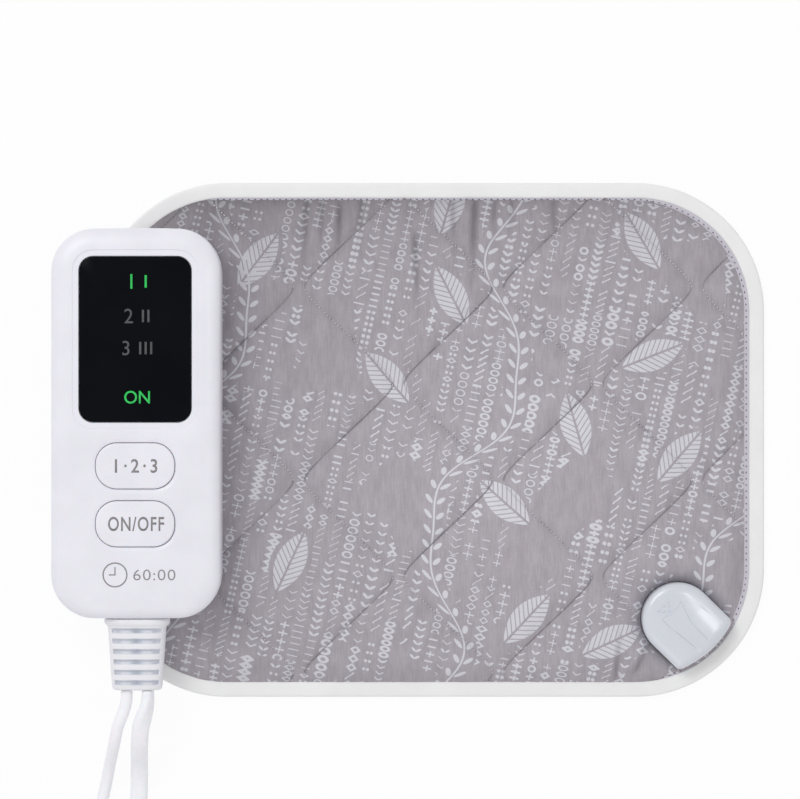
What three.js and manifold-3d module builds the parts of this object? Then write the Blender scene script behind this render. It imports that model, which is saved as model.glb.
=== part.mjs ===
// Heating pad with a wired hand controller, in millimetres, +Z up.
// The pad lies on a table, the controller lies on its left side, and two cords leave
// the controller's lower end: a flat mains flex and a round lead that plugs into the pad.
// Each piece is its own closed solid, placed by nested groups.

import * as THREE from 'three';
import { mergeVertices } from 'three/addons/utils/BufferGeometryUtils.js';
import Module from 'manifold-3d';

const wasm = await Module();
wasm.setup();

// Clearances
const clearance = 0.3;
const seatGap = 0.3;
const cutOverrun = 1;

// Pad outline and layers
const padLength = 285;
const padWidth = 220;
const padCornerRadius = 55;
const padCornerSteps = 8;
const backThickness = 0.7;
const feltThickness = 1;
const frontEdgeThickness = 1;
const frontChannelThickness = 1.6;
const frontCrownThickness = 3.6;

// Edge binding: a folded tape that grips the cloth layers
const bindingWidth = 6.5;
const bindingTape = 0.7;
const bindingFold = 1;
const bindingRound = 0.5;

// Quilting: diamonds with their points along the pad's length and width
const quiltHalfLength = 42.5;
const quiltHalfWidth = 41.2;
const quiltOriginX = -14;
const quiltOriginY = 24;
const quiltSteps = 5;
const quiltFullness = 0.6;

// Slope of the front cloth from the binding up to full height, inset and height as shares
const frontSlopeInset = 15;
const frontSlopeShares = [[0, 0], [0.2, 0.32], [0.55, 0.78], [1, 1]];
const cavityMargin = 3.5;
const cavitySlope = 7;

// Heating wire and its cut-outs
const wireDiameter = 1.6;
const wireSides = 6;
const wireMargin = 26;
const wireSocketRoom = 40;
const wireRuns = 8;
const wireBendSteps = 5;
const thermostatLength = 12;
const thermostatWidth = 6;
const thermostatHeight = 2;
const thermostatPlaceShares = [-0.3, 0.12];

// Socket on the pad's lower right corner
const socketTurn = -44.3;
const socketLength = 19;
const socketAside = -2.8;
const socketRadius = 15.6;
const socketRimRoom = 1.9;
const socketCornerRadius = 3;
const socketHeight = 13;
const socketBaseHeight = 2.4;
const socketBaseFloor = 1.2;
const socketWall = 1.6;
const socketShoulder = 4.4;
const socketShoulderDrop = 2.8;
const socketShoulderSteps = 4;
const socketFacetLean = 9.5;
const socketFlankLean = 3;
const tongueRise = 0.5;
const tongueStartX = -5.1;
const tongueHollow = 1;
const tongueUpperStart = 6;
const tongueUpperEnd = 2.2;
const tongueNeckX = 5;
const tongueNeckY = 2.8;
const tongueLowerStart = -4.7;
const tongueLowerEnd = -3.2;
const gripDotDiameter = 1.3;
const gripDotHeight = 0.3;
const gripRows = 3;
const gripFirstX = -8.9;
const gripMiddleY = -0.5;
const gripPitchX = 1.6;
const gripPitchY = 2.85;
const socketMouthWidth = 22;
const socketMouthHeight = 5.6;
const socketMouthRadius = 1.2;
const socketMouthDepth = 15;
const socketMouthSill = 0.7;
const contactBlockDepth = 4;
const contactPinDiameter = 1.6;
const contactPinSides = 10;
const contactPinLength = 7;
const contactPinPitch = 5.6;
const socketScrewHead = 4.6;
const socketScrewHeadHeight = 1.2;
const socketScrewShank = 2;
const socketScrewLength = 8;
const socketScrewX = -7;
const socketScrewY = 7.5;
const socketBossDiameter = 5.6;

// Hand controller case
const handsetWidth = 71.3;
const handsetLength = 164.4;
const handsetHeight = 24;
const handsetCornerRadius = 17.5;
const handsetCornerSteps = 6;
const handsetSideSteps = 4;
const handsetEndBow = 0.9;
const handsetEdgeWidth = 8.5;
const handsetEdgeDrop = 5;
const handsetEdgeSteps = 4;
const handsetWall = 2.2;
const handsetPartingGap = 0.3;
const handsetPlaceX = -124.5;
const handsetPlaceY = 7.25;

// Display window and its bezel. The window takes what the margins and the keys leave.
const windowSideRoom = 12.15;
const windowTopRoom = 12.2;
const windowKeyRoom = 8.85;
const windowRadius = 5.9;
const windowThickness = 1.3;
const windowLedge = 1.6;
const windowFrameDepth = 1.5;
const bezelWidth = 2.9;
const bezelDepth = 0.35;

// Light mask and the four indicator lights, in rows from the window's centre
const maskMargin = 1.2;
const ledLength = 3.5;
const ledWidth = 2.8;
const ledHeight = 1.9;
const ledRowShares = [0.35, 0.141, -0.053, -0.35];
const maskSideRoom = 8.5;
const maskCellShare = 0.1383;

// Keys
const buttonWidth = 33.1;
const buttonLength = 19.1;
const buttonRadius = 8.9;
const buttonProud = 0.7;
const buttonEdgeRadius = 0.8;
const buttonFlange = 1.2;
const buttonFlangeThickness = 1;
const buttonStem = 6;
const buttonTravel = 0.6;
const buttonSpace = 5.2;
const buttonEndRoom = 30.55;
const dishWidth = 1.9;
const dishDepth = 0.55;

// Circuit board and what it carries
const boardSideRoom = 12.65;
const boardEndRoom = 18.2;
const boardThickness = 1.6;
const boardRadius = 3;
const boardDrop = 1.6;
const postDiameter = 5;
const postSides = 16;
const postInsetX = 6;
const postInsetY = 12;
const switchSize = 6;
const switchHeight = 3.5;
const plungerDiameter = 3.4;
const plungerHeight = 2;
const plungerSunk = 0.8;
const chipLength = 10;
const chipWidth = 6.2;
const chipHeight = 1.6;
const triacLength = 15;
const triacWidth = 10;
const triacHeight = 4.6;
const chipPlaceShares = [-0.3, -0.23];
const triacPlaceShares = [0.24, -0.2];
const capacitorPlaceShares = [-0.2, -0.24];
const fusePlaceShares = [0, 0.06];
const capacitorLength = 18;
const capacitorWidth = 8;
const capacitorFloorRoom = 1.3;
const fuseDiameter = 5.2;
const fuseLength = 20;

// Case screws
const screwShank = 2.8;
const screwHead = 5.4;
const screwHeadHeight = 2;
const screwLength = 14;
const screwRecess = 1;
const bossDiameter = 7;
const roundSides = 16;
const screwInsetX = 7.45;
const screwInsetY = 19.2;

// Ribbed boot on the controller's lower end: two lobes, one for each cord
const cordSpacing = 9;
const bootLength = 30.5;
const bootLobeSteps = 8;
const bootHeightShare = 0.8;
const bootNeckRadius = 6.6;
const bootFlangeRadius = 9;
const bootFlangeThickness = 1.8;
const bootCollarRadius = 9.4;
const bootCollarLength = 3.5;
const bootStartRadius = 7.9;
const bootTipRadius = 6.1;
const bootTipRound = 1.4;
const bootGrooves = 6;
const bootFirstGroove = 5.2;
const bootGroovePitch = 4.4;
const bootGrooveWidth = 1.8;
const bootGrooveDepth = 1.4;
const bootGrooveShare = 0.5;
const bootHumpShare = 1.3;

// Inner leads from the boot to the board
const leadDiameter = 1.4;
const leadSides = 8;
const leadSteps = 8;
const leadRise = 1.6;
const leadSpreadShare = 0.23;
const leadLaneShare = 0.09;
const leadReachShare = 0.06;

// Flat mains flex with its plug
const flexWidth = 7.4;
const flexThickness = 4.9;
const flexCoilX = -72.7;
const flexCoilY = -220;
const flexCoilMeanRadius = 42;
const flexCoilTurns = 6.25;
const flexTailLength = 26;
const plugWidth = 24;
const plugThickness = 15.4;
const plugBodyLength = 28;
const plugTaperLength = 12;
const plugEntryWall = 1.6;
const plugEndRound = 1;
const plugRoundShare = 0.36;
const plugGrowthShares = [[0, 0], [0.5, 0.18], [1, 0.82], [1.35, 1]];
const bladeWidth = 6.3;
const bladeThickness = 1.5;
const bladeLength = 17;
const bladeSeat = 6;
const bladeSpacing = 12.7;
const bladeNose = 1.4;

// Round lead to the pad, with the plug that fits the socket's mouth
const padLeadDiameter = 5.06;
const padLeadCoilX = -184.3;
const padLeadCoilY = -202;
const padLeadCoilMeanRadius = 30.5;
const padLeadCoilTurns = 4;
const padLeadTailLength = 28;
const padPlugWidth = 28;
const padPlugHeight = 12.4;
const padPlugLength = 22;
const padPlugTaperLength = 10;
const tongueLength = 13;
const tongueSeat = 5;

// How coiled cord is laid
const coilGap = 0.5;
const coilSteps = 24;
const climbTurns = 0.5;
const freeSides = 8;
const flexFreeSteps = 30;
const padLeadFreeSteps = 34;
const tailSteps = 6;

// Levels of the pad's layers, from the table up
const backEdgeLevel = bindingTape + clearance;
const frontEdgeLevel = backEdgeLevel + backThickness + clearance;
const bindingHeight = frontEdgeLevel + frontEdgeThickness + clearance + bindingTape;
const feltLevel = backThickness + clearance;
const wireLevel = feltLevel + feltThickness + clearance;
const frontUnderLevel = wireLevel + Math.max(wireDiameter, thermostatHeight) + clearance;
const frontCrownLevel = frontUnderLevel + frontCrownThickness;
const layerInset = bindingFold + clearance;
const bindingInside = bindingWidth + clearance;
const cavityInset = bindingInside + cavityMargin;
const feltInset = cavityInset + clearance;

// Finishes
const finish = (color, roughness, metalness = 0) => ({ color, roughness, metalness });
const greyCotton = finish(0xaea9af, 0.95);
const paleTape = finish(0xececec, 0.85);
const backCloth = finish(0xb4b1b6, 0.9);
const feltWhite = finish(0xe6e2da, 1);
const paleGloss = finish(0xe6e6ec, 0.25);
const socketGloss = finish(0xd0d5de, 0.28);
const insulator = finish(0x2b2d31, 0.5);
const darkWindow = finish(0x0d1116, 0.08);
const boardGreen = finish(0x1f6b45, 0.5);
const metal = finish(0xb9bcc0, 0.3, 1);
const brass = finish(0xc9a35a, 0.3, 1);
const cordWhite = finish(0xe9e9ee, 0.45);
const lightGreen = finish(0x22b455, 0.4);
const amberFilm = finish(0xb5552a, 0.5);

// A piece: one named mesh with its own material
function piece(name, geometry, { color, roughness, metalness }) {
  geometry.computeVertexNormals();
  const material = new THREE.MeshStandardMaterial({ color, roughness, metalness });
  const mesh = new THREE.Mesh(geometry, material);
  mesh.name = name;
  return mesh;
}

// Outlines, counter-clockwise, each with the same number of points whatever its size
function roundedRectangle(length, width, radius, steps) {
  const points = [];
  const corners = [[1, 1], [-1, 1], [-1, -1], [1, -1]];
  corners.forEach(([alongX, alongY], corner) => {
    for (let step = 0; step <= steps; step += 1) {
      const angle = (corner + step / steps) * Math.PI / 2;
      points.push(new THREE.Vector2(
        alongX * (length / 2 - radius) + radius * Math.cos(angle),
        alongY * (width / 2 - radius) + radius * Math.sin(angle),
      ));
    }
  });
  return points;
}

function circle(diameter, sides) {
  return Array.from({ length: sides }, (_, side) => {
    const angle = side / sides * Math.PI * 2;
    return new THREE.Vector2(diameter / 2 * Math.cos(angle), diameter / 2 * Math.sin(angle));
  });
}

const padOutline = inset => roundedRectangle(
  padLength - 2 * inset, padWidth - 2 * inset, padCornerRadius - inset, padCornerSteps);

// Turns a mesh whose faces point inwards the right way out
function faceOutwards(positions, indices) {
  let volume = 0;
  const corner = index => new THREE.Vector3().fromArray(positions, index * 3);
  for (let i = 0; i < indices.length; i += 3) {
    const [a, b, c] = [corner(indices[i]), corner(indices[i + 1]), corner(indices[i + 2])];
    volume += a.dot(b.cross(c));
  }
  if (volume < 0) indices.reverse();
}

function solidGeometry(positions, indices) {
  faceOutwards(positions, indices);
  const geometry = new THREE.BufferGeometry();
  geometry.setAttribute('position', new THREE.Float32BufferAttribute(positions, 3));
  geometry.setIndex(indices);
  return geometry;
}

// Skins a stack of rings; its ends close to a middle point, or the stack joins up with itself
function loft(rings, joined = false) {
  const count = rings[0].length;
  const positions = rings.flatMap(ring => ring.flatMap(point => point.toArray()));
  const indices = [];
  const bands = joined ? rings.length : rings.length - 1;
  for (let band = 0; band < bands; band += 1) {
    const lower = band * count;
    const upper = (band + 1) % rings.length * count;
    for (let i = 0; i < count; i += 1) {
      const next = (i + 1) % count;
      indices.push(lower + i, lower + next, upper + next, lower + i, upper + next, upper + i);
    }
  }
  if (!joined) {
    const closeEnd = (ring, first, turned) => {
      const middle = ring.reduce((sum, point) => sum.add(point), new THREE.Vector3());
      const centre = positions.length / 3;
      positions.push(...middle.divideScalar(count).toArray());
      for (let i = 0; i < count; i += 1) {
        const edge = [first + i, first + (i + 1) % count];
        indices.push(centre, ...(turned ? edge.reverse() : edge));
      }
    };
    closeEnd(rings[0], 0, true);
    closeEnd(rings.at(-1), (rings.length - 1) * count, false);
  }
  return solidGeometry(positions, indices);
}

const ringAt = (outline, height) => outline.map(point => new THREE.Vector3(point.x, point.y, height));
const insetStack = (outlineAt, profile) => profile.map(
  ([inset, height]) => ringAt(outlineAt(inset), height));
const plate = (outline, bottom, top) => loft([ringAt(outline, bottom), ringAt(outline, top)]);
const rod = (diameter, bottom, top, sides = roundSides) => plate(circle(diameter, sides), bottom, top);
const block = (length, width, height) => new THREE.BoxGeometry(length, width, height);

// Cuts and joins
function toManifold(geometry) {
  const bare = geometry.clone();
  bare.deleteAttribute('normal');
  bare.deleteAttribute('uv');
  const merged = mergeVertices(bare);
  return new wasm.Manifold(new wasm.Mesh({
    numProp: 3,
    vertProperties: new Float32Array(merged.attributes.position.array),
    triVerts: new Uint32Array(merged.index.array),
  }));
}

function toGeometry(manifold) {
  const mesh = manifold.getMesh();
  const geometry = new THREE.BufferGeometry();
  geometry.setAttribute('position', new THREE.BufferAttribute(mesh.vertProperties, 3));
  geometry.setIndex(new THREE.BufferAttribute(mesh.triVerts, 1));
  return geometry;
}

const combine = method => (body, ...others) => toGeometry(
  others.reduce((result, other) => result[method](toManifold(other)), toManifold(body)));
const cut = combine('subtract');
const join = combine('add');
const common = combine('intersect');

// The socket's outline: a half round inner end, straight sides, and an outer end that
// follows the pad's corner. Its own origin is the middle of the half round.
// That end lies inside the binding, on the centre of the pad's own corner.
const socketEndRadius = padCornerRadius - bindingWidth - socketRimRoom;
const socketReach = socketEndRadius - socketLength;
const socketEndCentre = new THREE.Vector2(-socketReach, -socketAside);
const socketArcSteps = 6;
function socketOutline(inset) {
  const side = socketRadius - inset;
  const end = socketEndRadius - inset;
  const points = [];
  const arc = (centre, radius, from, to, steps) => {
    for (let step = 0; step <= steps; step += 1) {
      const angle = from + (to - from) * step / steps;
      points.push(new THREE.Vector2(Math.cos(angle), Math.sin(angle)).multiplyScalar(radius).add(centre));
    }
  };
  const cornerCentre = alongY => {
    const y = alongY * (side - socketCornerRadius);
    const reach = Math.sqrt((end - socketCornerRadius) ** 2 - (y - socketEndCentre.y) ** 2);
    return new THREE.Vector2(socketEndCentre.x + reach, y);
  };
  const [low, high] = [cornerCentre(-1), cornerCentre(1)];
  const lowAngle = low.clone().sub(socketEndCentre).angle() - Math.PI * 2;
  const highAngle = high.clone().sub(socketEndCentre).angle();
  const wrapped = highAngle > Math.PI ? highAngle - Math.PI * 2 : highAngle;
  arc(low, socketCornerRadius, -Math.PI / 2, lowAngle, 2);
  const stepAngle = (wrapped - lowAngle) / socketArcSteps;
  arc(socketEndCentre, end, lowAngle + stepAngle, wrapped - stepAngle, socketArcSteps - 2);
  arc(high, socketCornerRadius, wrapped, Math.PI / 2, 2);
  arc(new THREE.Vector2(), side, Math.PI / 2, Math.PI * 3 / 2, 2 * socketArcSteps);
  return points;
}

// Where the socket sits: on the corner's own axes, just inside the binding
const socketSeat = new THREE.Group();
socketSeat.rotation.z = THREE.MathUtils.degToRad(socketTurn);
socketSeat.position.set(socketReach, socketAside, backThickness + clearance);
socketSeat.position.applyAxisAngle(new THREE.Vector3(0, 0, 1), socketSeat.rotation.z);
socketSeat.position.add(new THREE.Vector3(
  padLength / 2 - padCornerRadius, padCornerRadius - padWidth / 2, 0));
socketSeat.updateMatrix();
const socketHole = plate(socketOutline(-clearance), -padWidth, padWidth).applyMatrix4(socketSeat.matrix);

// Quilted face: a slab with a puffed diamond for each cell, trimmed to the slope at the
// binding, hollowed under, and cut out round the socket
function quiltHeight(across, down) {
  const puff = Math.abs(Math.sin(Math.PI * across) * Math.sin(Math.PI * down)) ** quiltFullness;
  return frontUnderLevel + THREE.MathUtils.lerp(frontChannelThickness, frontCrownThickness, puff);
}

function quiltSlab() {
  const place = (across, down) => new THREE.Vector2(
    quiltOriginX + (across + down) * quiltHalfLength, quiltOriginY + (across - down) * quiltHalfWidth);
  const onPad = point => Math.abs(point.x) < padLength / 2 + quiltHalfLength / quiltSteps
    && Math.abs(point.y) < padWidth / 2 + quiltHalfWidth / quiltSteps;
  const reach = quiltSteps * Math.ceil(padLength / quiltHalfLength);
  const positions = [];
  const indices = [];
  const edges = new Map();
  const vertices = new Map();
  const vertex = (i, j) => {
    const key = `${i},${j}`;
    if (!vertices.has(key)) {
      const [across, down] = [i / quiltSteps, j / quiltSteps];
      const point = place(across, down);
      vertices.set(key, positions.length / 3);
      positions.push(point.x, point.y, quiltHeight(across, down), point.x, point.y, frontEdgeLevel);
    }
    return vertices.get(key);
  };
  for (let i = -reach; i < reach; i += 1) {
    for (let j = -reach; j < reach; j += 1) {
      if (!onPad(place((i + 0.5) / quiltSteps, (j + 0.5) / quiltSteps))) continue;
      const corners = [vertex(i, j), vertex(i, j + 1), vertex(i + 1, j + 1), vertex(i + 1, j)];
      const [a, b, c, d] = corners;
      indices.push(a, b, c, a, c, d);
      indices.push(a + 1, c + 1, b + 1, a + 1, d + 1, c + 1);
      corners.forEach((from, side) => {
        const to = corners[(side + 1) % 4];
        if (!edges.delete(`${to},${from}`)) edges.set(`${from},${to}`, [from, to]);
      });
    }
  }
  edges.forEach(([from, to]) => indices.push(from, from + 1, to + 1, from, to + 1, to));
  return solidGeometry(positions, indices);
}

function quiltedFront() {
  const edgeTop = frontEdgeLevel + frontEdgeThickness;
  const slope = frontSlopeShares.map(([insetShare, heightShare]) => [
    bindingInside + insetShare * frontSlopeInset,
    THREE.MathUtils.lerp(edgeTop, frontCrownLevel + cutOverrun, heightShare),
  ]);
  const envelope = loft(insetStack(padOutline, [
    [layerInset, frontEdgeLevel],
    [layerInset, edgeTop],
    ...slope,
  ]));
  const cavity = loft(insetStack(padOutline, [
    [cavityInset, frontEdgeLevel - cutOverrun],
    [cavityInset, frontEdgeLevel],
    [cavityInset + cavitySlope, frontUnderLevel],
  ]));
  return cut(common(quiltSlab(), envelope), cavity, socketHole);
}

function backCover() {
  const lift = backEdgeLevel;
  return loft(insetStack(padOutline, [
    [bindingInside + lift + backThickness, 0],
    [bindingInside + clearance, lift],
    [layerInset, lift],
    [layerInset, lift + backThickness],
    [bindingInside, lift + backThickness],
    [bindingInside + lift + 2 * clearance, backThickness],
  ]));
}

function carrierFelt() {
  const sheet = plate(padOutline(feltInset), feltLevel, feltLevel + feltThickness);
  return cut(sheet, socketHole);
}

function edgeBinding() {
  return loft(insetStack(padOutline, [
    [bindingWidth, 0],
    [bindingRound, 0],
    [0, bindingRound],
    [0, bindingHeight - bindingRound],
    [bindingRound, bindingHeight],
    [bindingWidth, bindingHeight],
    [bindingWidth, bindingHeight - bindingTape],
    [bindingFold, bindingHeight - bindingTape],
    [bindingFold, bindingTape],
    [bindingWidth, bindingTape],
  ]), true);
}

// Heating wire: straight runs along the pad, joined by half rounds
function wirePoints() {
  const top = padWidth / 2 - wireMargin;
  const pitch = 2 * top / (wireRuns - 1);
  const left = wireMargin + pitch / 2 - padLength / 2;
  const right = padLength / 2 - wireSocketRoom - wireMargin - pitch / 2;
  const level = wireLevel + wireDiameter / 2;
  const points = [new THREE.Vector3(right, top, level)];
  for (let run = 0; run < wireRuns; run += 1) {
    const y = top - run * pitch;
    const heading = run % 2 ? 1 : -1;
    const end = heading > 0 ? right : left;
    points.push(new THREE.Vector3(end, y, level));
    if (run === wireRuns - 1) break;
    for (let step = 1; step <= wireBendSteps; step += 1) {
      const angle = step / wireBendSteps * Math.PI;
      points.push(new THREE.Vector3(
        end + heading * pitch / 2 * Math.sin(angle), y - pitch / 2 * (1 - Math.cos(angle)), level));
    }
  }
  return points;
}

// Sweeps a flat or round section along a route whose sections stay level
function sweep(points, width, height, sides) {
  const up = new THREE.Vector3(0, 0, 1);
  const rings = points.map((point, index) => {
    const before = points[Math.max(index - 1, 0)];
    const after = points[Math.min(index + 1, points.length - 1)];
    const arriving = point.clone().sub(before).normalize();
    const leaving = after.clone().sub(point).normalize();
    const heading = arriving.add(leaving).normalize();
    const side = heading.clone().cross(up).normalize();
    const rise = side.clone().cross(heading);
    return Array.from({ length: sides }, (_, step) => {
      const angle = step / sides * Math.PI * 2;
      const lift = height / 2 * Math.sin(angle) / Math.sin(Math.PI * Math.round(sides / 4) * 2 / sides);
      return point.clone()
        .addScaledVector(side, width / 2 * Math.cos(angle))
        .addScaledVector(rise, lift);
    });
  });
  return loft(rings);
}

const axisX = new THREE.Vector3(1, 0, 0);
const axisY = new THREE.Vector3(0, 1, 0);
const axisZ = new THREE.Vector3(0, 0, 1);

// A plate laid over so that it runs along +X, or along -Y, with its outline upright
const alongX = (outline, from, to) => plate(outline, from, to)
  .applyMatrix4(new THREE.Matrix4().makeBasis(axisY, axisZ, axisX));
const outwards = geometry => geometry
  .applyMatrix4(new THREE.Matrix4().makeBasis(axisX, axisZ, axisY.clone().negate()));

function addPad(part) {
  part.add(piece('quilted_front', quiltedFront(), greyCotton));
  part.add(piece('back_cover', backCover(), backCloth));
  part.add(piece('carrier_felt', carrierFelt(), feltWhite));
  part.add(piece('edge_binding', edgeBinding(), paleTape));
  part.add(piece('heating_wire', sweep(wirePoints(), wireDiameter, wireDiameter, wireSides), cordWhite));
  thermostatPlaceShares.forEach((share, index) => {
    const cutOut = piece(
      `thermostat_${index + 1}`, block(thermostatLength, thermostatWidth, thermostatHeight), metal);
    cutOut.position.set(share * padLength, 0, wireLevel + thermostatHeight / 2);
    part.add(cutOut);
  });
}

// The socket's outer form: a rounded shoulder round a face that falls away on both sides of
// a raised tongue, with small grip dots inside the tongue's hollow end
function socketCrown(foot) {
  const shoulder = Array.from({ length: socketShoulderSteps + 1 }, (_, step) => {
    const angle = step / socketShoulderSteps * Math.PI / 2;
    return [
      socketShoulder * (1 - Math.cos(angle)),
      socketHeight - socketShoulderDrop * (1 - Math.sin(angle)),
    ];
  });
  const dome = loft(insetStack(socketOutline, [[0, foot], ...shoulder]));
  const faceLevel = socketHeight - tongueRise;
  const endX = socketEndRadius - socketReach;
  const fallingFrom = (startY, endY, lean) => {
    const heading = Math.atan2(endY - startY, endX - tongueStartX);
    return block(2 * socketEndRadius, socketEndRadius, socketHeight)
      .translate(0, Math.sign(startY) * socketEndRadius / 2, socketHeight / 2)
      .rotateX(-Math.sign(startY) * THREE.MathUtils.degToRad(lean))
      .rotateZ(heading)
      .translate(tongueStartX, startY, faceLevel);
  };
  const face = cut(
    dome,
    block(2 * socketEndRadius, 2 * socketEndRadius, socketHeight)
      .translate(0, 0, faceLevel + socketHeight / 2),
    fallingFrom(tongueUpperStart, tongueUpperEnd, socketFacetLean),
    fallingFrom(tongueLowerStart, tongueLowerEnd, socketFlankLean));
  const tongue = plate([
    [tongueStartX, tongueLowerStart],
    [endX, tongueLowerEnd],
    [endX, tongueUpperEnd],
    [tongueNeckX, tongueNeckY],
    [tongueStartX, tongueUpperStart],
    [tongueStartX + tongueHollow, (tongueUpperStart + tongueLowerStart) / 2],
  ].map(([x, y]) => new THREE.Vector2(x, y)), faceLevel - tongueRise, socketHeight + tongueRise);
  const dot = (row, index) => rod(
    gripDotDiameter, faceLevel - tongueRise, faceLevel + gripDotHeight).translate(
    gripFirstX + row * gripPitchX,
    gripMiddleY + (index - (gripRows - 1 - row) / 2) * gripPitchY,
    0);
  const dots = Array.from({ length: gripRows }, (_, row) => Array.from(
    { length: gripRows - row }, (_, index) => dot(row, index))).flat();
  return join(face, common(dome, tongue), ...dots);
}

// Socket: two shells screwed together through the cloth, a mouth that faces the pad's
// corner, and three pins in an insulating block
function addSocket(part) {
  const topLevel = socketBaseHeight + clearance;
  const mouthX = socketEndRadius - socketReach;
  const mouthLevel = topLevel + socketMouthSill + socketMouthHeight / 2;
  const innerX = mouthX - socketMouthDepth - contactBlockDepth;
  const mouthOutline = inset => roundedRectangle(
    socketMouthWidth - 2 * inset, socketMouthHeight - 2 * inset, socketMouthRadius - inset, 2);
  const mouth = alongX(mouthOutline(0), innerX, mouthX + socketRadius).translate(0, 0, mouthLevel);
  const screwPlaces = [1, -1].map(side => [socketScrewX, side * socketScrewY]);
  const screwTip = socketScrewHeadHeight + socketScrewLength;
  const pilots = screwPlaces.map(([x, y]) => rod(
    socketScrewShank + 2 * clearance, -cutOverrun, screwTip + clearance).translate(x, y, 0));
  const sinks = screwPlaces.map(([x, y]) => rod(
    socketScrewHead + 2 * clearance, -cutOverrun, socketScrewHeadHeight + clearance).translate(x, y, 0));

  const top = cut(socketCrown(topLevel), mouth, ...pilots);
  const tray = loft(insetStack(socketOutline, [
    [0, 0],
    [0, socketBaseHeight],
    [socketWall, socketBaseHeight],
    [socketWall, socketBaseFloor],
  ]));
  const bosses = screwPlaces.map(([x, y]) => rod(
    socketBossDiameter, socketBaseFloor / 2, socketBaseHeight).translate(x, y, 0));
  const base = cut(join(tray, ...bosses), ...pilots, ...sinks);
  socketSeat.add(piece('socket_top_shell', top, socketGloss));
  socketSeat.add(piece('socket_base_shell', base, socketGloss));

  const blockFront = innerX + contactBlockDepth;
  const pinYs = [-1, 0, 1].map(step => step * contactPinPitch);
  const boreOutline = circle(contactPinDiameter + 2 * clearance, contactPinSides);
  const bores = pinYs.map(y => alongX(
    boreOutline, innerX - cutOverrun, blockFront + cutOverrun).translate(0, y, mouthLevel));
  const insert = alongX(mouthOutline(clearance), innerX + clearance, blockFront);
  socketSeat.add(piece('contact_block', cut(insert.translate(0, 0, mouthLevel), ...bores), insulator));
  pinYs.forEach((y, index) => {
    const pin = alongX(
      circle(contactPinDiameter, contactPinSides), innerX + clearance, blockFront + contactPinLength);
    socketSeat.add(piece(`contact_pin_${index + 1}`, pin.translate(0, y, mouthLevel), brass));
  });
  screwPlaces.forEach(([x, y], index) => {
    const screw = screwBody(socketScrewHead, socketScrewHeadHeight, socketScrewShank, socketScrewLength);
    socketSeat.add(piece(`socket_screw_${index + 1}`, screw.translate(x, y, 0), metal));
  });
  part.add(socketSeat);
}

// A screw that stands on its head, with its foot at zero
function screwBody(head, headHeight, shank, length) {
  return loft([
    ringAt(circle(head, roundSides), 0),
    ringAt(circle(head, roundSides), headHeight),
    ringAt(circle(shank, roundSides), headHeight),
    ringAt(circle(shank, roundSides), headHeight + length),
  ]);
}

// Places along and across the controller, from its middle
const windowWidth = handsetWidth - 2 * windowSideRoom;
const keysLength = windowKeyRoom + 2 * buttonLength + buttonSpace + buttonEndRoom;
const windowLength = handsetLength - windowTopRoom - keysLength;
const windowPlaceY = (handsetLength - windowLength) / 2 - windowTopRoom;
const powerButtonY = buttonEndRoom + (buttonLength - handsetLength) / 2;
const modeButtonY = powerButtonY + buttonLength + buttonSpace;
const boardWidth = handsetWidth - 2 * boardSideRoom;
const boardLength = handsetLength - 2 * boardEndRoom;
const postPlaceX = boardWidth / 2 - postInsetX;
const postPlaceY = boardLength / 2 - postInsetY;
const screwPlaceX = handsetWidth / 2 - screwInsetX;
const screwPlaceY = handsetLength / 2 - screwInsetY;

// Levels inside the controller, from its own underside
const partingLevel = handsetHeight / 2;
const boardHeight = partingLevel - boardDrop;
const capacitorHeight = boardHeight - seatGap - handsetWall - capacitorFloorRoom;
const innerTop = handsetHeight - handsetWall;
const windowTop = handsetHeight - bezelDepth;
const windowFoot = windowTop - windowThickness;
const frameFoot = innerTop - windowFrameDepth;
const boardTop = boardHeight + boardThickness;
const partsLevel = boardTop + seatGap;
const switchTop = partsLevel + switchHeight;
const plungerFoot = switchTop - plungerSunk;
const flangeTop = innerTop - clearance;
const bossRoot = handsetWall / 2;

// The controller's outline: a rounded rectangle with slightly bowed ends
function handsetOutline(inset) {
  const halfWidth = handsetWidth / 2 - inset;
  const length = handsetLength - 2 * (inset + handsetEndBow);
  const corners = roundedRectangle(
    2 * halfWidth, length, handsetCornerRadius - inset, handsetCornerSteps);
  const perCorner = handsetCornerSteps + 1;
  const points = corners.flatMap((point, index) => {
    const endEdge = index === perCorner - 1 || index === 3 * perCorner - 1;
    if (!endEdge) return [point];
    const next = corners[index + 1];
    return Array.from(
      { length: handsetSideSteps }, (_, step) => point.clone().lerp(next, step / handsetSideSteps));
  });
  points.forEach(point => {
    point.y += Math.sign(point.y) * handsetEndBow * (1 - (point.x / halfWidth) ** 2);
  });
  return points;
}

const windowOutline = grow => roundedRectangle(
  windowWidth + 2 * grow, windowLength + 2 * grow, windowRadius + grow, 5);
const keyOutline = grow => roundedRectangle(
  buttonWidth + 2 * grow, buttonLength + 2 * grow, buttonRadius + grow, 5);

const screwPlaces = [[1, 1], [-1, 1], [-1, -1], [1, -1]].map(
  ([sideX, sideY]) => [sideX * screwPlaceX, sideY * screwPlaceY]);

// Soft case edge, from the side wall to the flat face, as inset and height: an oval quarter
// that is wider than it is deep
function caseEdge(inset, level) {
  return Array.from({ length: handsetEdgeSteps + 1 }, (_, step) => {
    const angle = step / handsetEdgeSteps * Math.PI / 2;
    return [
      inset + (handsetEdgeWidth - inset) * (1 - Math.cos(angle)),
      level - (handsetEdgeDrop - inset) * (1 - Math.sin(angle)),
    ];
  });
}

function caseHalf() {
  const outer = caseEdge(0, handsetHeight);
  const inner = caseEdge(handsetWall, innerTop).reverse();
  const rim = partingLevel + handsetPartingGap / 2;
  return loft(insetStack(handsetOutline, [...inner, [handsetWall, rim], [0, rim], ...outer]));
}

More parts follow.
